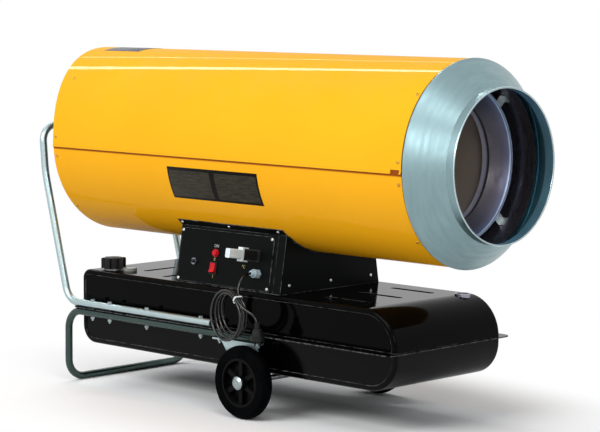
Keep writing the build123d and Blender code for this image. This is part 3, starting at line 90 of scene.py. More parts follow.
# %% Panel plane
SIDE_BACK, SIDE_HEIGHT = 26.5, 162.0  # how far the housing's side goes back over its height
PANEL_ON_SIDE = Vector((0, -0.198846, 0.346))  # the lower edge of the panel's rear face
PANEL_SHEET = 0.0025
panel_lean = math.atan2(SIDE_BACK, SIDE_HEIGHT)
panel_up = Vector((0, math.sin(panel_lean), math.cos(panel_lean)))
panel_out = Vector((0, -math.cos(panel_lean), math.sin(panel_lean)))
panel_foot = PANEL_ON_SIDE + panel_out * PANEL_SHEET


def on_panel(along, up, out=0.0):
    """A point in metres, given in millimetres along, up and out of the panel's face."""
    return panel_foot + Vector((along / 1000, 0, 0)) + (panel_up * up + panel_out * out) / 1000


print("panel foot", [round(c, 4) for c in panel_foot])

# %% [markdown]
# ## The mains cord
#
# The cord comes out of the grey gland, drops to a white tie and hangs there in five loose
# loops, and its end falls to the plug. A cord is one length of something round, so it is one
# curve with a round section. A NURBS curve runs smoothly near its points, as a cord does,
# and the loops are half circles worked out one after the other, each a little different in
# size.

# %% Cord measures
CORD_RADIUS = 0.0035
COIL_MIDDLE = Vector((0.066, -0.2795, 0.281))
TIE_REACH = 0.065  # from the coil's middle to the tie
TIE_ANGLE, COIL_TURN = math.radians(53), math.radians(10)
LOOP_SIZES = (0.114, 0.1075, 0.1175, 0.125, 0.1305)  # from the tie to each loop's far side
LOOP_SPREAD = (0.0155, 0.008, 0.002, -0.0055, -0.018)  # how far that side swings out sideways
STRAND_HALF = 0.006  # half of a strand's straight run through the tie
PITCH = 0.0078  # from one strand in the tie to the next
coil_level = Vector((math.cos(COIL_TURN), -math.sin(COIL_TURN), 0))
coil_side = Vector((math.sin(COIL_TURN), math.cos(COIL_TURN), 0))
coil_up = Vector((0, 0, 1))
tie_out = coil_level * math.cos(TIE_ANGLE) + coil_up * math.sin(TIE_ANGLE)
tie_along = coil_level * math.sin(TIE_ANGLE) - coil_up * math.cos(TIE_ANGLE)
tie_middle = COIL_MIDDLE + tie_out * TIE_REACH
print("tie at", [round(c, 3) for c in tie_middle])

# %% The six strands in the tie
sideways = coil_side * PITCH
outwards = tie_out * PITCH / 2
strands = [
    tie_middle + outwards + sideways,
    tie_middle - outwards + sideways,
    tie_middle - outwards,
    tie_middle + outwards,
    tie_middle - outwards - sideways,
    tie_middle + outwards - sideways,
]
print(len(strands), "strands,", len(LOOP_SIZES), "loops")

# %% Cord route
HALF_STEPS = 8
ROUNDER = 1.02  # the curve passes inside its points, so a loop's points stand a little out
GLAND_END = (89, 46, 28)  # along, up and out of the panel, in millimetres
PLUG_TOP = Vector((0.180, -0.285, 0.276))
IN_GLAND, OFF_GLAND = 0.010, 0.028
BEFORE_TIE, IN_TIE, AFTER_TIE = 0.022, 0.001, 0.041
ABOVE_PLUG, IN_PLUG = 0.014, 0.016


def half_loop(start, end, way):
    """The points of a half circle from start to end that bulges one way, without its ends."""
    middle = (start + end) / 2
    reach = (start - end) / 2
    points = []
    for k in range(1, HALF_STEPS):
        angle = math.pi * k / HALF_STEPS
        swing = reach * math.cos(angle) + way * (reach.length * math.sin(angle))
        points.append(middle + swing * ROUNDER)
    return points


gland_exit = on_panel(*GLAND_END)
route = [
    gland_exit - panel_out * IN_GLAND,
    gland_exit + panel_out * OFF_GLAND,
    strands[0] - tie_along * BEFORE_TIE,
    strands[0] + tie_along * STRAND_HALF,
]
for i, size in enumerate(LOOP_SIZES):
    far = tie_middle - tie_out * size + coil_side * LOOP_SPREAD[i]
    back = strands[i + 1] - tie_along * STRAND_HALF
    route += half_loop(route[-1], far, tie_along) + [far]
    route += half_loop(far, back, -tie_along) + [back]
    route.append(strands[i + 1] + tie_along * STRAND_HALF)
route[-1] = strands[-1] + tie_along * IN_TIE
route += [
    strands[-1] + tie_along * AFTER_TIE,
    PLUG_TOP + coil_up * ABOVE_PLUG,
    PLUG_TOP - coil_up * IN_PLUG,
]
print(len(route), "points in the cord's route")

# %% Cord as one smooth curve
curve = bpy.data.curves.new("mains_cord", "CURVE")
curve.dimensions = "3D"
curve.bevel_depth = 1.0  # times each point's radius, so the curve's box is as tight as the cord
curve.bevel_resolution = 5
curve.use_fill_caps = True
spline = curve.splines.new("NURBS")
spline.points.add(len(route) - 1)
for point, place in zip(spline.points, route):
    point.co = (*place, 1.0)
    point.radius = CORD_RADIUS
spline.order_u = 3
spline.use_endpoint_u = True
spline.resolution_u = 6
cord = bpy.data.objects.new("mains_cord", curve)
scene.collection.objects.link(cord)
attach(cord, "heater")
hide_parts("cord_lead", "cord_coil", "cord_tail")
print("cord laid")

# %% [markdown]
# ## Helpers for nodes
#
# A finish is a small network of nodes, and the same few steps come back in every one: a sum,
# a noise, a change of range, a mix of two colours. Each step could be wired by hand every
# time. A short function for each makes a finish read as a list of what it does. The first
# two are here, and each of the others comes before the step that needs it first.

# %% A node and a sum


def add(tree, kind, **settings):
    """A node with its settings; a value in inputs is set by socket name or index."""
    node = tree.nodes.new(kind)
    for key, value in settings.pop("inputs", {}).items():
        node.inputs[key].default_value = value
    for key, value in settings.items():
        setattr(node, key, value)
    return node


def math_node(tree, operation, first, second, **settings):
    """One sum on two sockets or numbers, and its result."""
    node = add(tree, "ShaderNodeMath", operation=operation, **settings)
    for slot, value in enumerate((first, second)):
        if isinstance(value, (int, float)):
            node.inputs[slot].default_value = value
        else:
            tree.links.new(value, node.inputs[slot])
    return node.outputs[0]


# %% [markdown]
# ## The studio
#
# The photograph has a white ground with a soft shadow. A photographer would roll out a white
# paper sweep, but paper that is lit to pure white also floods the heater with light. So the
# room is a modest grey to the heater and white only to what sees it, directly, in a
# reflection or through the lens of the gauge.

# %% What is seen


def seen(tree):
    """A mask that is one for what is seen directly, mirrored or through something clear."""
    path = add(tree, "ShaderNodeLightPath").outputs
    mirrored = math_node(tree, "MAXIMUM", path["Is Camera Ray"], path["Is Glossy Ray"])
    return math_node(tree, "MAXIMUM", mirrored, path["Is Transmission Ray"])


def mix_shaders(tree, mask, first, second, output):
    """Puts the first shader on the output where the mask is nought, the second where it is one."""
    mix = add(tree, "ShaderNodeMixShader")
    for source, socket in zip((mask, first.outputs[0], second.outputs[0]), mix.inputs):
        tree.links.new(source, socket)
    tree.links.new(mix.outputs[0], output.inputs[0])


# %% World
SURROUND = 0.34  # what the room gives to matt surfaces
ROOM_TONE = (0.97, 0.985, 1.0, 1.0)
world = bpy.data.worlds.new("studio")
scene.world = world
world.use_nodes = True
tree = world.node_tree
room = tree.nodes["Background"]
room.inputs["Color"].default_value = ROOM_TONE
room.inputs["Strength"].default_value = SURROUND
backdrop = add(tree, "ShaderNodeBackground", inputs={"Color": (1.0, 1.0, 1.0, 1.0)})
mix_shaders(tree, seen(tree), room, backdrop, tree.nodes["World Output"])
scene.view_settings.view_transform = "Standard"
print("room strength", SURROUND)

# %% [markdown]
# ## Lamps
#
# Glossy sheet shows the shape of its lamps. A broad soft lamp on the camera's side lights
# the panel and the barrel's flank, one overhead and one in front fill the top and the cone.
# The photograph has two bright lines along the barrel, and a line on a cylinder is the
# mirror image of a long thin lamp. The two strips therefore hang level, turned about the
# vertical until their images run straight along the barrel.

# %% Lamps
AIM = Vector((0.0, 0.0, 0.6))


def soft_lamp(name, place, width, depth, watts):
    """A rectangular lamp at a place, turned to the heater's middle."""
    data = bpy.data.lights.new(name, "AREA")
    data.shape = "RECTANGLE"
    data.size = width
    data.size_y = depth
    data.energy = watts
    lamp = bpy.data.objects.new(name, data)
    lamp.location = place
    lamp.rotation_euler = (AIM - Vector(place)).to_track_quat("-Z", "Y").to_euler()
    scene.collection.objects.link(lamp)
    return lamp


soft_lamp("overhead", (2.0, -1.6, 4.0), width=1.8, depth=1.4, watts=30)
soft_lamp("camera_side", (-0.2, -4.7, 3.3), width=3.6, depth=1.8, watts=188)
soft_lamp("front", (4.6, -2.8, 2.4), width=1.8, depth=1.4, watts=50)
strip = soft_lamp("strip", (-2.60, 0.77, 3.2), width=3.6, depth=0.23, watts=50)
strip.rotation_euler = (0.0, 0.0, math.radians(28.6))
thin_strip = soft_lamp("thin_strip", (-3.35, 2.60, 3.2), width=2.8, depth=0.12, watts=10)
thin_strip.rotation_euler = (0.0, 0.0, math.radians(58.8))
print(len(bpy.data.lights), "lamps")

# %% [markdown]
# ## The floor
#
# A large pale plane takes the shadow near the heater. Further out it gives its own white
# light to the camera, so no horizon shows. The change from one to the other is a smooth
# step on the distance from the heater's middle, longer along the barrel than across it.

# %% Helpers for a material


def vector_node(tree, operation, first, second=None):
    """One vector sum on sockets or plain vectors; a dot product and a length give a value."""
    node = add(tree, "ShaderNodeVectorMath", operation=operation)
    for slot, value in enumerate((first, second)):
        if isinstance(value, tuple):
            node.inputs[slot].default_value = value
        elif value is not None:
            tree.links.new(value, node.inputs[slot])
    return node.outputs["Value" if operation in ("DOT_PRODUCT", "LENGTH") else "Vector"]


def stretch(tree, value, low, high, to_low=0.0, to_high=1.0, **settings):
    """A value's range low to high, spread over another range."""
    ranges = {1: low, 2: high, 3: to_low, 4: to_high}
    node = add(tree, "ShaderNodeMapRange", inputs=ranges, **settings)
    tree.links.new(value, node.inputs[0])
    return node.outputs[0]


def blend(tree, mask, low, high):
    """A colour between low and high by a mask; each is a colour or a socket."""
    node = add(tree, "ShaderNodeMix", data_type="RGBA")
    tree.links.new(mask, node.inputs[0])
    for slot, colour in ((6, low), (7, high)):
        if isinstance(colour, tuple):
            node.inputs[slot].default_value = (*colour, 1.0)
        else:
            tree.links.new(colour, node.inputs[slot])
    return node.outputs[2]


def object_place(tree):
    """The place on the heater, in metres."""
    return add(tree, "ShaderNodeTexCoord").outputs["Object"]


def finish(name, colour, roughness, metallic=0.0, **sockets):
    """A Principled material with plain values, and its tree, shader and object coordinates."""
    material = bpy.data.materials.new(name)
    material.use_nodes = True
    tree = material.node_tree
    shader = tree.nodes["Principled BSDF"]
    shader.inputs["Base Color"].default_value = (*colour, 1.0)
    shader.inputs["Roughness"].default_value = roughness
    shader.inputs["Metallic"].default_value = metallic
    for label, value in sockets.items():
        shader.inputs[label.replace("_", " ")].default_value = value
    return material, tree, shader, object_place(tree)


# %% Floor
FLOOR_SIZE = 60.0
FLOOR_TONE = (0.55, 0.55, 0.55)  # what the floor gives back to the heater
FLOOR_SEEN = (0.97, 0.975, 0.98)  # what the camera sees of it
FADE_START, FADE_END = 0.42, 0.78
FADE_SHAPE = (0.55, 1.0, 1.0)
bpy.ops.object.select_all(action="DESELECT")
bpy.ops.mesh.primitive_plane_add(size=FLOOR_SIZE, location=(0, 0, 0))
floor = bpy.context.active_object
floor.name = "floor"
floor_paint, tree, shader, where = finish("floor_paint", FLOOR_TONE, 0.6, Specular_IOR_Level=0.0)
visible = seen(tree)
tree.links.new(blend(tree, visible, FLOOR_TONE, FLOOR_SEEN), shader.inputs["Base Color"])
distance = vector_node(tree, "LENGTH", vector_node(tree, "MULTIPLY", where, FADE_SHAPE))
fade = stretch(tree, distance, FADE_START, FADE_END, interpolation_type="SMOOTHSTEP")
white = add(tree, "ShaderNodeEmission", inputs={"Strength": 1.0})
far_and_seen = math_node(tree, "MULTIPLY", fade, visible)
mix_shaders(tree, far_and_seen, shader, white, tree.nodes["Material Output"])
floor.data.materials.append(floor_paint)
print("floor", FLOOR_SIZE, "m wide")

# %% [markdown]
# ## Effects that several finishes share
#
# Worn edges, dust and the lines of spinning come back on many pieces. Each is a node group
# with named inputs, built once. A group puts out only a mask or a value, and each material
# decides what to do with it.

# %% Group helper


def new_group(name, inputs, output):
    """A node group with float inputs {name: value} and one float output.

    Gives the group, the sockets of what it is given, and the socket of its result.
    """
    group = bpy.data.node_groups.new(name, "ShaderNodeTree")
    for label, value in inputs.items():
        socket = group.interface.new_socket(name=label, in_out="INPUT", socket_type="NodeSocketFloat")
        socket.default_value = value
    group.interface.new_socket(name=output, in_out="OUTPUT", socket_type="NodeSocketFloat")
    start = group.nodes.new("NodeGroupInput")
    end = group.nodes.new("NodeGroupOutput")
    return group, start.outputs, end.inputs[output]


def surface_normal(tree):
    """The direction that the surface faces."""
    return add(tree, "ShaderNodeNewGeometry").outputs["Normal"]


def noise(tree, vector, scale, detail=3.0, roughness=0.5):
    """A noise texture's value on a vector socket."""
    values = {"Scale": scale, "Detail": detail, "Roughness": roughness}
    node = add(tree, "ShaderNodeTexNoise", inputs=values)
    tree.links.new(vector, node.inputs["Vector"])
    return node.outputs["Fac"]


# %% [markdown]
# Paint and zinc wear through first on edges. The bevel node gives a normal that turns
# towards an edge before the surface does, so where the two differ there is an edge. A noise
# breaks the mask up, because wear is never even. On the dark enamels the same mask also lays
# a painted highlight along the rounded edges.

# %% Worn edges, also carrying a painted highlight
edge_wear_and_highlight, given, result = new_group("edge_wear_and_highlight", {"Radius": 0.002, "Amount": 0.5}, "Mask")
bevel = add(edge_wear_and_highlight, "ShaderNodeBevel", samples=4)
edge_wear_and_highlight.links.new(given["Radius"], bevel.inputs["Radius"])
facing = vector_node(edge_wear_and_highlight, "DOT_PRODUCT", bevel.outputs["Normal"], surface_normal(edge_wear_and_highlight))
edge = stretch(edge_wear_and_highlight, facing, 0.995, 0.90)
patches = stretch(edge_wear_and_highlight, noise(edge_wear_and_highlight, object_place(edge_wear_and_highlight), 60.0), 0.35, 0.65)
broken = math_node(edge_wear_and_highlight, "MULTIPLY", edge, patches)
edge_wear_and_highlight.links.new(math_node(edge_wear_and_highlight, "MULTIPLY", broken, given["Amount"]), result)
print(edge_wear_and_highlight.name, "built")

# %% [markdown]
# Dust settles on what faces up. The height of the normal says how much a surface does.

# %% Dust


def axes(tree, vector):
    """The X, Y and Z outputs of a vector socket."""
    split = add(tree, "ShaderNodeSeparateXYZ")
    tree.links.new(vector, split.inputs[0])
    return split.outputs


dust, given, result = new_group("dust", {"Amount": 0.3}, "Mask")
level = stretch(dust, axes(dust, surface_normal(dust))["Z"], 0.35, 1.0)
cloud = stretch(dust, noise(dust, object_place(dust), 9.0, 6.0, 0.6), 0.40, 0.75)
settled = math_node(dust, "MULTIPLY", level, cloud)
dust.links.new(math_node(dust, "MULTIPLY", settled, given["Amount"]), result)
print(dust.name, "built")

# %% [markdown]
# Round sheet that was worked on a lathe keeps fine lines round its axis, which is the
# barrel's here. A noise that is slow along the angle and fine along the profile draws them.

# %% Lines spun round the barrel's axis


def vector_of(tree, *values):
    """A vector made of value sockets."""
    node = add(tree, "ShaderNodeCombineXYZ")
    for value, socket in zip(values, node.inputs):
        tree.links.new(value, socket)
    return node.outputs[0]


BARREL_AXIS_HEIGHT = 0.720
ROUND_LINES = 3.0  # how fast the lines change on their way round
spun, given, result = new_group("spun_lines", {"Fineness": 900.0}, "Value")
where = axes(spun, object_place(spun))
height = math_node(spun, "SUBTRACT", where["Z"], BARREL_AXIS_HEIGHT)
angle = math_node(spun, "ARCTAN2", height, where["Y"])
radius = vector_node(spun, "LENGTH", vector_of(spun, where["Y"], height))
across = math_node(spun, "SUBTRACT", where["X"], radius)
fine = math_node(spun, "MULTIPLY", across, given["Fineness"])
slow = math_node(spun, "MULTIPLY", angle, ROUND_LINES)
spun.links.new(noise(spun, vector_of(spun, fine, slow), 1.0, 4.0, 0.6), result)
print(spun.name, "built")

# %% [markdown]
# The cone is one thin sheet that looks different inside and outside; inside, its bright blue
# is a painted reflection. The inside is where the normal points towards the barrel's axis.

# %% What faces the barrel's axis
inward, given, result = new_group("inward", {"Sharpness": 8.0}, "Mask")
from_axis = vector_node(inward, "SUBTRACT", object_place(inward), (0.0, 0.0, BARREL_AXIS_HEIGHT))
outwards = vector_node(inward, "MULTIPLY", from_axis, (0.0, 1.0, 1.0))
facing = vector_node(inward, "DOT_PRODUCT", surface_normal(inward), outwards)
back = math_node(inward, "MULTIPLY", facing, -1.0)
mask = math_node(inward, "MULTIPLY", back, given["Sharpness"], use_clamp=True)
inward.links.new(mask, result)
print(len(bpy.data.node_groups), "shared effects")

# %% [markdown]
# ## Finishes
#
# Each finish is a short function of what it is on the real heater: its colour, how rough
# it is, and which of the shared effects it carries. A flat number goes straight onto the
# shader's own socket; only what changes over the surface comes through nodes.

# %% Material helpers


def effect(tree, group, **values):
    """A shared effect in a material, and its output."""
    node = add(tree, "ShaderNodeGroup", node_tree=group)
    for label, value in values.items():
        node.inputs[label].default_value = value
    return node.outputs[0]


def set_colour(tree, shader, colour):
    """Leads a colour socket to the shader."""
    tree.links.new(colour, shader.inputs["Base Color"])


def set_roughness(tree, shader, roughness):
    """Leads a roughness socket to the shader."""
    tree.links.new(roughness, shader.inputs["Roughness"])


def bump(tree, shader, height, strength, distance):
    """A bump from a height socket onto the shader's normal."""
    node = add(tree, "ShaderNodeBump", inputs={"Strength": strength, "Distance": distance})
    tree.links.new(height, node.inputs["Height"])
    tree.links.new(node.outputs[0], shader.inputs["Normal"])


def dress(material, *names):
    """Gives a material to CAD nodes."""
    for name in names:
        nodes[name].data.materials.clear()
        nodes[name].data.materials.append(material)
    print(material.name, "on", ", ".join(names))


# %% [markdown]
# ## Gloss paint
#
# The barrel is rolled sheet in baked yellow enamel. Its colour alone would look like paper.
# What makes it sheet metal is the coat on top, which mirrors the lamps, and two bumps: long
# soft waves from the rolling and the fine skin of sprayed paint. The upper sheet laps over
# the lower one, which carries a painted shade just under that edge, and both carry a painted
# shade line just behind the cone's rim.

# %% Gloss paint of the barrel
SEAM_HEIGHT = 0.7085
# Painted shade: a brownish band on the lower sheet just under the upper sheet's lapped edge.
SHADE_TOP, SHADE_DEPTH = 0.004, 0.0080  # below the seam
# Painted shade: a dark line on both sheets just behind the cone's rim.
RIM_SHADE = (0.0065, 0.0040)  # where the dark line starts and is full, behind the rim
SEAM_PAINTED_SHADE, RIM_PAINTED_SHADE = (0.30, 0.065, 0.005), (0.06, 0.035, 0.015)
CHIPPED, YELLOW_DUST = (0.30, 0.20, 0.09), (0.62, 0.55, 0.42)
RIM_BAND = 0.0005  # corners this close to the cone's greatest height are on its rim
cone_corners = [corner.co for corner in nodes["outlet_cone"].data.vertices]
cone_edge = max(corner.z for corner in cone_corners) - RIM_BAND
cone_rim = min(corner.x for corner in cone_corners if corner.z > cone_edge)


def gloss_paint(name, colour, dark, coat, shade_under_seam=False):
    """Baked enamel on rolled sheet: long soft waves, a fine skin, a few worn edges, and painted shade
    under the seam and behind the cone's rim.
    """
    material, tree, shader, where = finish(
        name, colour, 0.34, Specular_IOR_Level=0.0, Coat_Weight=coat, Coat_Roughness=0.03
    )
    shade = stretch(tree, noise(tree, where, 2.4, 2.0), 0.35, 0.7)
    tint = blend(tree, shade, colour, dark)
    tint = blend(tree, effect(tree, edge_wear_and_highlight, Radius=0.0012, Amount=0.55), tint, CHIPPED)
    tint = blend(tree, effect(tree, dust, Amount=0.06), tint, YELLOW_DUST)
    place = axes(tree, where)
    # painted shade just under the upper sheet's lapped edge
    if shade_under_seam:
        seam_shade = stretch(tree, place["Z"], SEAM_HEIGHT - SHADE_DEPTH, SEAM_HEIGHT - SHADE_TOP)
        tint = blend(tree, seam_shade, tint, SEAM_PAINTED_SHADE)
    # painted shade: the dark line just behind the cone's rim
    rim = stretch(tree, place["X"], *(cone_rim - back for back in RIM_SHADE))
    set_colour(tree, shader, blend(tree, rim, tint, RIM_PAINTED_SHADE))
    set_roughness(tree, shader, stretch(tree, noise(tree, where, 5.0, 5.0, 0.6), 0.3, 0.7, 0.26, 0.40))
    waves = noise(tree, where, 3.0, 1.0)
    skin = math_node(tree, "MULTIPLY", noise(tree, where, 700.0, 1.0), 0.015)
    bump(tree, shader, math_node(tree, "ADD", waves, skin), 0.5, 0.004)
    return material


dress(gloss_paint("upper_yellow", (0.95, 0.472, 0.011), (0.92, 0.445, 0.009), 0.18), "upper_shell")
lower_yellow = gloss_paint("lower_yellow", (0.97, 0.452, 0.011), (0.94, 0.43, 0.009), 0.15, True)
dress(lower_yellow, "lower_shell")

# %% [markdown]
# ## Zinc
#
# The cone, the tubes and the brackets are galvanised. Zinc is a dull metal with a blue cast,
# cloudy rather than even, and brighter where it is rubbed. Spun pieces take their clouds and
# lines from the group of spun lines, tubes and brackets from plain noise. The axle brackets
# are darker towards the bottom, behind the wheels. The stand's much darker zinc is painted
# shade, and the cone's bright blue inside is a painted reflection.

# %% Zinc
RUBBED_ZINC, LOW_DARK = (0.80, 0.84, 0.86), (0.012, 0.013, 0.014)
DARK_TOP, DARK_FADE = 0.190, 0.030


def zinc_finish(name, colour, rough_low, rough_high, inside=None, darker_low=False):
    """Galvanised sheet or tube; a piece that is spun has another colour inside, which on the cone is a
    painted blue reflection.
    """
    material, tree, shader, where = finish(name, colour, rough_low, 0.92)
    if inside:
        lines = effect(tree, spun, Fineness=800.0)
        cloud = stretch(tree, effect(tree, spun, Fineness=60.0), 0.30, 0.72)
    else:
        lines = noise(tree, where, 320.0, 3.0)
        cloud = stretch(tree, noise(tree, where, 16.0, 4.0, 0.6), 0.35, 0.68)
    tint = blend(tree, cloud, colour, tuple(c * 0.84 for c in colour))
    tint = blend(tree, effect(tree, edge_wear_and_highlight, Radius=0.001, Amount=0.8), tint, RUBBED_ZINC)
    if inside:
        # the colour inside; on the cone it is a painted reflection
        tint = blend(tree, effect(tree, inward), tint, inside)
    # darker towards the bottom: the zinc goes near black below a set height
    if darker_low:
        low = stretch(tree, axes(tree, where)["Z"], DARK_TOP, DARK_TOP - DARK_FADE)
        tint = blend(tree, low, tint, LOW_DARK)
    set_colour(tree, shader, tint)
    mixed = math_node(tree, "MULTIPLY", math_node(tree, "ADD", lines, cloud), 0.5)
    set_roughness(tree, shader, stretch(tree, mixed, 0.25, 0.75, rough_low, rough_high))
    bump(tree, shader, lines, 0.10, 0.0006)
    return material


TUBE_COLOUR = (0.44, 0.55, 0.57)
# The cone's bright blue inside colour is a painted reflection.
dress(zinc_finish("spun_zinc", (0.255, 0.375, 0.40), 0.28, 0.42, (0.36, 0.80, 1.0)), "outlet_cone")
inner_zinc = zinc_finish("inner_zinc", (0.20, 0.20, 0.23), 0.20, 0.38, (0.17, 0.16, 0.19))
dress(inner_zinc, "heat_shield", "fan_ring")
dress(zinc_finish("bracket_zinc", (0.62, 0.66, 0.66), 0.40, 0.60), "chamber_brackets")
dress(zinc_finish("tube_zinc", TUBE_COLOUR, 0.28, 0.50), "handle_frame")
# Painted shade: the stand wears a much darker copy of the tube's zinc.
dress(zinc_finish("stand_zinc_painted_shade", (0.055, 0.085, 0.078), 0.22, 0.42), "stand_frame")
dress(zinc_finish("low_dark_zinc", TUBE_COLOUR, 0.28, 0.50, darker_low=True), "axle_brackets")

# %% [markdown]
# ## Steel that has been hot
#
# The chamber's thin steel takes heat colours: brown at the back, then a lavender ring and a
# wide dark band. The pale blue at the mouth is a painted highlight on its edge. The colours
# follow the length of the barrel, so a colour ramp reads X, and a little noise keeps the bands
# from being ruled lines.

# %% Heat-tinted steel of the burner's chamber
HEAT_REAR, HEAT_FRONT = 0.50, 0.67
HEAT_DRIFT = 0.005
HEAT_AND_HIGHLIGHT_BANDS = (
    (HEAT_REAR, (0.58, 0.48, 0.40)),
    (0.578, (0.60, 0.52, 0.48)),
    (0.588, (0.85, 0.84, 1.0)),
    (0.598, (0.70, 0.70, 0.92)),
    (0.604, (0.085, 0.072, 0.078)),
    (0.635, (0.070, 0.062, 0.090)),
    (0.649, (0.10, 0.11, 0.19)),
    # painted highlight: the pale blue on the chamber's mouth edge, from here to the front
    (0.653, (0.60, 0.72, 0.95)),
    (HEAT_FRONT, (0.60, 0.72, 0.95)),
)
heated_steel, tree, shader, where = finish("heated_steel", (0.16, 0.12, 0.10), 0.38, 0.45)
drift = math_node(tree, "MULTIPLY", noise(tree, where, 14.0, 4.0), HEAT_DRIFT)
band = math_node(tree, "ADD", axes(tree, where)["X"], drift)
ramp = add(tree, "ShaderNodeValToRGB")
stops = ramp.color_ramp.elements
stops[0].color = (*HEAT_AND_HIGHLIGHT_BANDS[0][1], 1.0)  # a new ramp has a stop at each end
stops[1].color = (*HEAT_AND_HIGHLIGHT_BANDS[-1][1], 1.0)
for place, tone in HEAT_AND_HIGHLIGHT_BANDS[1:-1]:
    stops.new((place - HEAT_REAR) / (HEAT_FRONT - HEAT_REAR)).color = (*tone, 1.0)
tree.links.new(stretch(tree, band, HEAT_REAR, HEAT_FRONT), ramp.inputs[0])
set_colour(tree, shader, ramp.outputs[0])
lines = effect(tree, spun, Fineness=500.0)
set_roughness(tree, shader, stretch(tree, lines, 0.3, 0.7, 0.28, 0.5))
bump(tree, shader, lines, 0.2, 0.0006)
dress(heated_steel, "combustion_chamber", "flame_disc")

# %% [markdown]
# ## Dark enamels
#
# The tank is gloss black, the housing, panel and guard are satin black, and the motor is
# grey. Black paint is all reflection, so its colour stays near nought and its roughness,
# smeared by hands, does the work. Its edges are a lighter grey, partly wear and partly a
# painted highlight along the rounded edges.

# %% Dark enamels
EDGE_GREY_AND_HIGHLIGHT, PALE_DUST = (0.42, 0.43, 0.44), (0.10, 0.095, 0.085)


def enamel(name, colour, roughness, specular, wear_and_highlight, dusty):
    """Dark paint, gloss or satin, with a little dust on top and brighter edges, partly worn and partly a
    painted highlight.
    """
    material, tree, shader, where = finish(name, colour, roughness, Specular_IOR_Level=specular)
    # The lighter grey on the edges is partly wear and partly a painted highlight.
    tint = blend(tree, effect(tree, edge_wear_and_highlight, Radius=0.0018, Amount=wear_and_highlight), colour, EDGE_GREY_AND_HIGHLIGHT)
    set_colour(tree, shader, blend(tree, effect(tree, dust, Amount=dusty), tint, PALE_DUST))
    smears = noise(tree, where, 6.0, 6.0, 0.65)
    set_roughness(tree, shader, stretch(tree, smears, 0.3, 0.75, roughness * 0.8, roughness * 1.5))
    waves = noise(tree, where, 5.0, 1.0)
    skin = math_node(tree, "MULTIPLY", noise(tree, where, 900.0, 1.0), 0.02)
    bump(tree, shader, math_node(tree, "ADD", waves, skin), 0.4, 0.002)
    return material


dress(enamel("tank_enamel", (0.0008, 0.0008, 0.0008), 0.07, 0.04, 0.5, 0.015), "tank_upper")
dress(enamel("low_enamel", (0.0008, 0.0009, 0.0010), 0.12, 0.08, 0.5, 0.02), "tank_lower")
# On the satin black the high edge amount paints highlights along the housing's and panel's edges, with
# some wear.
satin_black = enamel("satin_black", (0.0030, 0.0042, 0.0040), 0.34, 0.04, 0.8, 0.06)
dress(satin_black, "housing", "control_panel", "rear_guard")
dress(enamel("motor_paint", (0.055, 0.065, 0.075), 0.35, 0.4, 0.6, 0.2), "fan_motor")

# %% [markdown]
# ## Plastics and rubber
#
# Mouldings have an even colour, slightly clouded, over a grain that comes from the mould.
# One function makes them all: the grain and its depth set a smooth plug apart from a rubber
# tyre.

# %% Plastics and rubber
MOULD_DUST = (0.20, 0.19, 0.17)


def moulded(name, colour, roughness, grain, depth, specular=0.15, dusty=0.10):
    """A moulding with a fine grain."""
    material, tree, shader, where = finish(name, colour, roughness, Specular_IOR_Level=specular)
    speckle = noise(tree, where, grain, 3.0)
    cloud = stretch(tree, noise(tree, where, 30.0, 3.0), 0.35, 0.7)
    tint = blend(tree, cloud, colour, tuple(c * 0.85 + 0.002 for c in colour))
    set_colour(tree, shader, blend(tree, effect(tree, dust, Amount=dusty), tint, MOULD_DUST))
    set_roughness(tree, shader, stretch(tree, cloud, 0.0, 1.0, roughness * 0.85, roughness * 1.15))
    bump(tree, shader, speckle, 0.3, depth)
    return material


black_moulding = moulded("black_moulding", (0.011, 0.011, 0.012), 0.42, 900.0, 0.0003)
dress(black_moulding, "fuel_cap", "switch_frame", "reset_button", "thermostat_socket")
dress(black_moulding, "ignition_transformer", "photocell", "mains_plug")
dress(moulded("soft_rubber", (0.012, 0.012, 0.012), 0.6, 600.0, 0.0003), "cap_gasket")
tyre_rubber = moulded("tyre_rubber", (0.0008, 0.0010, 0.0014), 0.60, 500.0, 0.0004, 0.01, 0.01)
dress(tyre_rubber, "right_tyre", "left_tyre")
hub_moulding = moulded("hub_moulding", (0.0015, 0.0016, 0.0020), 0.40, 700.0, 0.0003, 0.06, 0.03)
dress(hub_moulding, "right_hub", "left_hub")
cord_sheath = moulded("cord_sheath", (0.0012, 0.0012, 0.0014), 0.17, 700.0, 0.0002, 0.5, 0.0)
cord.data.materials.append(cord_sheath)

# %% Coloured plastics
red_moulding = moulded("red_moulding", (0.62, 0.010, 0.018), 0.22, 500.0, 0.0002)
dress(red_moulding, "indicator_lamp", "rocker", "gauge_pointer")
white_moulding = moulded("white_moulding", (0.74, 0.84, 0.87), 0.40, 700.0, 0.0003)
dress(white_moulding, "thermostat_plug", "cable_tie")
dress(moulded("grey_moulding", (0.42, 0.55, 0.61), 0.38, 700.0, 0.0003), "cable_gland")
dress(moulded("pale_moulding", (0.30, 0.30, 0.28), 0.4, 700.0, 0.0002), "gauge_body")
dress(moulded("orange_foam", (0.55, 0.20, 0.04), 0.7, 300.0, 0.0006), "float_arm")
dress(moulded("ceramic", (0.72, 0.70, 0.64), 0.18, 200.0, 0.0001), "electrodes")

# %% [markdown]
# ## Bare metals
#
# Steel, brass, copper and cast alloy differ in colour and in how rough they are. Each is
# cloudy where hands and oil have been, and brighter on its edges.

# %% Bare metals


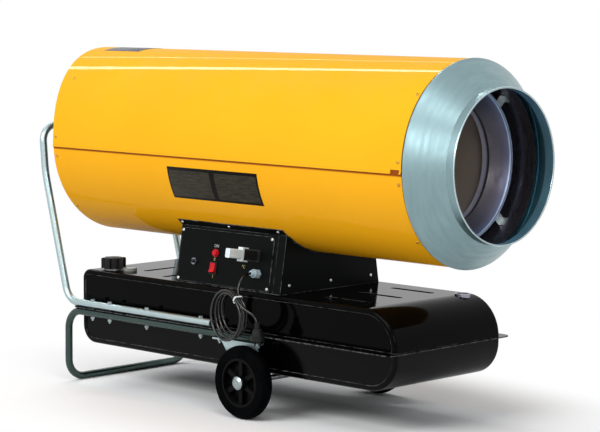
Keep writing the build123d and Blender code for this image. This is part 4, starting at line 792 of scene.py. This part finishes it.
def bare_metal(name, colour, low, high, grain=60.0):
    """Bare metal with cloudy roughness between low and high."""
    material, tree, shader, where = finish(name, colour, low, 1.0)
    cloud = noise(tree, where, grain, 5.0, 0.6)
    tint = blend(tree, stretch(tree, cloud, 0.4, 0.75), colour, tuple(c * 0.6 for c in colour))
    bright = tuple(min(1.0, c * 1.25) for c in colour)
    set_colour(tree, shader, blend(tree, effect(tree, edge_wear_and_highlight, Radius=0.0008, Amount=0.5), tint, bright))
    set_roughness(tree, shader, stretch(tree, cloud, 0.3, 0.7, low, high))
    bump(tree, shader, cloud, 0.15, 0.0004)
    return material


plain_steel = bare_metal("plain_steel", (0.36, 0.36, 0.36), 0.28, 0.5)
dress(plain_steel, "blast_tube", "motor_shaft", "motor_bracket", "axle", "filler_neck", "strainer")
dress(bare_metal("dull_zinc", (0.36, 0.42, 0.43), 0.28, 0.45), "frame_bolts", "hub_caps")
dress(bare_metal("dark_plate", (0.30, 0.31, 0.38), 0.15, 0.3), "reset_nut", "tank_port")
dress(bare_metal("cast_alloy", (0.46, 0.47, 0.48), 0.35, 0.6, 300.0), "fan", "fuel_pump")
dress(bare_metal("copper", (0.62, 0.27, 0.14), 0.22, 0.42), "fuel_lines", "suction_pipe")
dress(bare_metal("brass", (0.58, 0.40, 0.15), 0.2, 0.4), "nozzle_holder")

# %% [markdown]
# ## The gauge's lens
#
# The fuel gauge sits under a clear plastic dome that has been wiped many times. Transmission
# on the Principled shader makes it clear, and fine scratches make its gloss uneven.

# %% Clear lens of the fuel gauge
lens_plastic, tree, shader, where = finish(
    "lens_plastic", (0.93, 0.95, 0.95), 0.08, Transmission_Weight=1.0, IOR=1.45
)
scratches = noise(tree, where, 240.0, 4.0, 0.7)
set_roughness(tree, shader, stretch(tree, scratches, 0.35, 0.75, 0.03, 0.16))
bump(tree, shader, scratches, 0.05, 0.0002)
dress(lens_plastic, "gauge_lens")

# %% [markdown]
# ## Small pieces made by hand
#
# What follows is made as one would by hand in Blender: a primitive is the start, and bisect,
# bevel, spin and modifiers give it its shape. Two helpers keep the cells short. One starts
# with nothing selected, because an operator acts on all that is. The other gives a finished
# piece its name, finish and body, and puts its place into its mesh.

# %% Helpers for new pieces
SMOOTH_BELOW = math.radians(35)  # an edge that turns by less is shaded smooth
SAME_PLACE = 0.00001  # corners closer than this are one corner


def begin():
    """Leaves nothing selected, so the next operator acts on the new piece alone."""
    bpy.ops.object.select_all(action="DESELECT")


def settle(piece, name, material, body="heater"):
    """Names and dresses a finished piece, puts its place into its mesh and rides it on a body."""
    begin()
    piece.select_set(True)
    bpy.context.view_layer.objects.active = piece
    bpy.ops.object.transform_apply(location=True, rotation=True, scale=True)
    bpy.ops.object.shade_smooth_by_angle(angle=SMOOTH_BELOW)
    piece.name = name
    piece.data.materials.clear()
    piece.data.materials.append(material)
    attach(piece, body)
    print(name, len(piece.data.polygons), "faces")
    return piece


def apply_modifier(piece, kind, **settings):
    """One modifier with its settings, applied to the active piece."""
    modifier = piece.modifiers.new(kind.lower(), kind)
    for key, value in settings.items():
        setattr(modifier, key, value)
    bpy.context.view_layer.objects.active = piece
    bpy.ops.object.modifier_apply(modifier=modifier.name)


# %% [markdown]
# ## Plates on the barrel
#
# Two thin plates are glued to the barrel: a wide black one under the seam and a small dark
# one on top, near the rear. Both stay blank here. A plate that lies on a barrel is a piece
# of a cylinder, so an open cylinder is cut along two planes through the axis, and the strip
# that is left gets its thickness.

# %% Rolled plates
PLATE_GAP = 0.00015
PLATE_THICKNESS = 0.0006
PLATE_EDGE = 0.00015


def rolled_plate(name, radius, along, around, material):
    """A plate on the barrel, along X, and around it in degrees from the top to the panel's side."""
    begin()
    bpy.ops.mesh.primitive_cylinder_add(
        vertices=240,
        radius=radius + PLATE_GAP,
        depth=along[1] - along[0],
        end_fill_type="NOTHING",
        location=(sum(along) / 2, 0, BARREL_AXIS_HEIGHT),
        rotation=(0, math.pi / 2, 0),
    )
    plate = bpy.context.active_object
    bpy.ops.object.transform_apply(location=True, rotation=True, scale=True)
    bpy.ops.object.mode_set(mode="EDIT")
    for degrees, keep_above in zip(around, (True, False)):
        angle = math.radians(degrees)
        bpy.ops.mesh.select_all(action="SELECT")
        bpy.ops.mesh.bisect(
            plane_co=(0, 0, BARREL_AXIS_HEIGHT),
            plane_no=(0, -math.cos(angle), -math.sin(angle)),
            clear_inner=keep_above,
            clear_outer=not keep_above,
        )
    bpy.ops.object.mode_set(mode="OBJECT")
    apply_modifier(plate, "SOLIDIFY", thickness=PLATE_THICKNESS, offset=1.0)
    apply_modifier(plate, "BEVEL", width=PLATE_EDGE, segments=2)
    settle(plate, name, material)


# %% Finish of the side plate
FIELD_Z = (0.5945, 0.6690)
FIELDS_X = ((-0.191, -0.027), (-0.008, 0.157))
PLATE_BLACK, FIELD_TONE, PLATE_DUST = (0.006, 0.0055, 0.005), (0.055, 0.050, 0.034), (0.3, 0.26, 0.18)


def within(tree, value, low, high):
    """A mask that is one between two bounds."""
    above = math_node(tree, "GREATER_THAN", value, low)
    return math_node(tree, "MULTIPLY", above, math_node(tree, "LESS_THAN", value, high))


plate_black, tree, shader, where = finish("plate_black", PLATE_BLACK, 0.34, Specular_IOR_Level=0.05)
place = axes(tree, where)
columns = math_node(tree, "ADD", *(within(tree, place["X"], *bounds) for bounds in FIELDS_X))
fields = math_node(tree, "MULTIPLY", columns, within(tree, place["Z"], *FIELD_Z))
longer = vector_node(tree, "MULTIPLY", where, (1.0, 8.0, 8.0))
rubbed = stretch(tree, noise(tree, longer, 30.0, 4.0, 0.6), 0.35, 0.70, 0.35, 1.0)
faded = math_node(tree, "MULTIPLY", fields, rubbed)
tint = blend(tree, faded, PLATE_BLACK, FIELD_TONE)
set_colour(tree, shader, blend(tree, effect(tree, dust, Amount=0.2), tint, PLATE_DUST))
set_roughness(tree, shader, stretch(tree, rubbed, 0.35, 1.0, 0.28, 0.45))
print(plate_black.name, "built")

# %% Two plates
lower_radius = BARREL_AXIS_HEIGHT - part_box("lower_shell")[0][2]
upper_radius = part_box("upper_shell")[1][2] - BARREL_AXIS_HEIGHT
SIDE_ALONG, SIDE_AROUND = (-0.197, 0.163), (98.7, 118.5)
TOP_ALONG, TOP_AROUND = (-0.700, -0.545), (-8.0, 14.0)
plate_blue = moulded("plate_blue", (0.030, 0.036, 0.060), 0.30, 300.0, 0.0001, 0.10)
rolled_plate("side_plate", lower_radius, SIDE_ALONG, SIDE_AROUND, plate_black)
rolled_plate("top_plate", upper_radius, TOP_ALONG, TOP_AROUND, plate_blue)

# %% [markdown]
# ## The rolled edge of the spigot
#
# The mouth's edge is turned over into a small round bead, which catches the light all the
# way round. A small circle swept once round the barrel's axis makes it, which is what the
# spin tool is for.

# %% Spigot bead
BEAD_RADIUS = 0.0024
SPIGOT_RADIUS = 0.2048
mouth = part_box("outlet_cone")[1][0]
begin()
bpy.ops.mesh.primitive_circle_add(
    vertices=10,
    radius=BEAD_RADIUS,
    location=(mouth - BEAD_RADIUS, 0, BARREL_AXIS_HEIGHT + SPIGOT_RADIUS),
    rotation=(math.pi / 2, 0, 0),
)
bead = bpy.context.active_object
bpy.ops.object.transform_apply(location=True, rotation=True, scale=True)
bpy.ops.object.mode_set(mode="EDIT")
bpy.ops.mesh.select_all(action="SELECT")
bpy.ops.mesh.spin(steps=120, angle=math.tau, center=(0, 0, BARREL_AXIS_HEIGHT), axis=(1, 0, 0))
bpy.ops.mesh.select_all(action="SELECT")
bpy.ops.mesh.remove_doubles(threshold=SAME_PLACE)
bpy.ops.mesh.normals_make_consistent(inside=False)
bpy.ops.object.mode_set(mode="OBJECT")
settle(bead, "spigot_bead", bare_metal("rim_zinc", (0.62, 0.72, 0.75), 0.20, 0.34))

# %% [markdown]
# ## The web of each wheel
#
# The moulded wheel is closed behind its ribs by a thin web. A disc whose middle is taken out
# by an inset, and which then gets a thickness, is enough for it. It turns with its wheel.

# %% Hub webs
WEB_THICKNESS = 0.0020
WEB_EDGE = 0.0004
WEB_DEPTH = 0.0200  # from the hub's outer end to the back of its ribs
RIM_WALL = 0.0065
BOSS_RADIUS = 0.0185
for hand, side in (("right", -1), ("left", 1)):
    low, high = (Vector(corner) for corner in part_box(hand + "_hub"))
    middle = (low + high) / 2
    web_radius = (high.z - low.z) / 2 - RIM_WALL
    outer_end = high.y if side > 0 else low.y
    begin()
    bpy.ops.mesh.primitive_circle_add(
        vertices=72,
        radius=web_radius,
        fill_type="NGON",
        location=(middle.x, outer_end - side * WEB_DEPTH, middle.z),
        rotation=(-side * math.pi / 2, 0, 0),
    )
    web = bpy.context.active_object
    bpy.ops.object.transform_apply(location=True, rotation=True, scale=True)
    bpy.ops.object.mode_set(mode="EDIT")
    bpy.ops.mesh.select_all(action="SELECT")
    bpy.ops.mesh.inset(thickness=web_radius - BOSS_RADIUS)
    bpy.ops.mesh.delete(type="FACE")
    bpy.ops.object.mode_set(mode="OBJECT")
    apply_modifier(web, "SOLIDIFY", thickness=WEB_THICKNESS, offset=-1)
    apply_modifier(web, "BEVEL", width=WEB_EDGE, segments=2)
    settle(web, hand + "_hub_web", hub_moulding, hand + "_wheel")

# %% [markdown]
# ## Screws with a cross recess
#
# The sheet-metal screws are all the same pan head. One is modelled at the origin: a short
# cylinder with its top edge rounded, and a cross cut into it with two thin boxes. The solid
# model says where each screw sits, so its loose parts give the places.

# %% One pan head
HEAD_RADIUS = 0.0046
HEAD_HEIGHT = 0.0026
HEAD_ROUND = 0.0013
RECESS = (0.0050, 0.0011, 0.0030)  # length, width and height of each bar of the cross
begin()
bpy.ops.mesh.primitive_cylinder_add(
    vertices=24, radius=HEAD_RADIUS, depth=HEAD_HEIGHT, location=(0, 0, HEAD_HEIGHT / 2)
)
head = bpy.context.active_object
bpy.ops.object.transform_apply(location=True, rotation=True, scale=True)
bpy.ops.object.mode_set(mode="EDIT")
bpy.ops.mesh.select_all(action="DESELECT")
shape = bmesh.from_edit_mesh(head.data)
for edge in shape.edges:
    edge.select = all(vertex.co.z > HEAD_HEIGHT * 0.9 for vertex in edge.verts)
bmesh.update_edit_mesh(head.data)
bpy.ops.mesh.bevel(offset=HEAD_ROUND, segments=3)
bpy.ops.object.mode_set(mode="OBJECT")
for turn in (0, math.pi / 2):
    begin()
    bpy.ops.mesh.primitive_cube_add(size=1, location=(0, 0, HEAD_HEIGHT), rotation=(0, 0, turn))
    bar = bpy.context.active_object
    bar.scale = RECESS
    bpy.context.view_layer.update()
    apply_modifier(head, "BOOLEAN", object=bar, operation="DIFFERENCE", solver="EXACT")
    bpy.data.objects.remove(bar)
print("head", len(head.data.polygons), "faces")

# %% The places of the screws


def loose_parts(name):
    """The corners of every loose part of a CAD node, from a merged copy of its mesh."""
    copy = bmesh.new()
    copy.from_mesh(nodes[name].data)
    bmesh.ops.remove_doubles(copy, verts=copy.verts, dist=SAME_PLACE)
    left = set(copy.verts)
    parts = []
    while left:
        found = [left.pop()]
        for vertex in found:
            for edge in vertex.link_edges:
                other = edge.other_vert(vertex)
                if other in left:
                    left.remove(other)
                    found.append(other)
        parts.append([vertex.co.copy() for vertex in found])
    copy.free()
    return sorted(parts, key=lambda part: tuple(round(c, 3) for c in part_middle(part)))


def part_middle(part):
    """The middle of a part's corners, by its box."""
    low = Vector([min(c[k] for c in part) for k in range(3)])
    high = Vector([max(c[k] for c in part) for k in range(3)])
    return (low + high) / 2


print(len(loose_parts("shell_screws")), "screws in the barrel")

# %% [markdown]
# A screw points straight out of the sheet that it holds. On the barrel that is away from the
# axis, on the panel it is the panel's own direction, and on the housing's front it is along
# the barrel. Each copy is turned a little further than the one before, as driven screws are.

# %% Screw heads
DRIVEN_TURN = 0.9  # radians from one screw to the next
FACE_DEPTH = 0.004  # a screw this close to the housing's front is in its front face
front_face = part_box("housing")[1][0]


def radial(middle):
    """The direction out from the barrel's axis at a point."""
    return Vector((0, middle.y, middle.z - BARREL_AXIS_HEIGHT)).normalized()


def from_housing(middle):
    """The direction out of the housing's front face, or of its sides."""
    return Vector((1, 0, 0)) if middle.x > front_face - FACE_DEPTH else radial(middle)


def screw_set(node, direction, plating):
    """Copies of the pan head at the places of a node's screws, joined into one piece."""
    copies = []
    for number, part in enumerate(loose_parts(node)):
        middle = part_middle(part)
        out = direction(middle)
        reach = max((corner - middle).dot(out) for corner in part)
        seat = middle + out * (reach - HEAD_HEIGHT)
        facing = out.to_track_quat("Z", "Y").to_matrix().to_4x4()
        mesh = head.data.copy()
        mesh.transform(Matrix.Translation(seat) @ facing @ Matrix.Rotation(number * DRIVEN_TURN, 4, "Z"))
        copies.append(bpy.data.objects.new(node, mesh))
        scene.collection.objects.link(copies[-1])
    begin()
    for copy in copies:
        copy.select_set(True)
    bpy.context.view_layer.objects.active = copies[0]
    bpy.ops.object.join()
    screws = settle(copies[0], node.replace("screws", "screw_heads"), plating)
    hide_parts(node)


screw_zinc = bare_metal("screw_zinc", (0.72, 0.72, 0.70), 0.18, 0.38)
screw_set("shell_screws", radial, bare_metal("yellow_zinc", (0.66, 0.40, 0.07), 0.3, 0.5))
screw_set("panel_screws", lambda middle: panel_out, screw_zinc)
screw_set("housing_screws", from_housing, screw_zinc)
bpy.data.objects.remove(head)

# %% [markdown]
# ## Print on the panel
#
# The switch has its 0 and I, the lamp its ON, and the socket of the room thermostat a plain
# degree mark. Printed characters are flat, so each is a text object made into a mesh and
# laid on the panel.

# %% Panel print
PRINT_THICKNESS = 0.0001
PRINT_LIFT = 0.08  # millimetres out of the panel's face
PRINT_SIZE = 0.012
print_yellow = moulded("print_yellow", (0.60, 0.55, 0.20), 0.5, 900.0, 0.0001, 0.05)
print_white = moulded("print_white", (0.62, 0.62, 0.58), 0.5, 900.0, 0.0001, 0.05)
panel_axes = Matrix((Vector((1, 0, 0)), panel_up, panel_out)).transposed().to_4x4()


def panel_print(name, words, along, up, material):
    """Generic characters printed on the panel, with their middle at a place in millimetres."""
    begin()
    bpy.ops.object.text_add()
    text = bpy.context.active_object
    text.data.body = words
    text.data.size = PRINT_SIZE
    text.data.align_x = "CENTER"
    text.data.align_y = "CENTER"
    text.data.extrude = PRINT_THICKNESS / 2
    text.data.resolution_u = 4
    bpy.ops.object.convert(target="MESH")
    text = bpy.context.active_object
    text.matrix_world = Matrix.Translation(on_panel(along, up, PRINT_LIFT)) @ panel_axes
    settle(text, name, material)


panel_print("mark_0", "0", -89, 71, print_yellow)
panel_print("mark_I", "I", -89, 22, print_yellow)
panel_print("mark_ON", "ON", -86, 109, print_white)
panel_print("mark_degrees", "°C", 30, 60, print_yellow)

# %% [markdown]
# ## The last look
#
# Every solid comes in a plain undercoat, so one that was forgotten still wears it. The solids
# that show are counted here, and those that still wear it are printed.

# %% Undercoats and the end
shown = {name: piece for name, piece in nodes.items() if not piece.hide_render}
forgotten = [name for name, piece in shown.items() if piece.data.materials[0].name in undercoats]
print(len(shown), "solids show, in their undercoat:", forgotten)
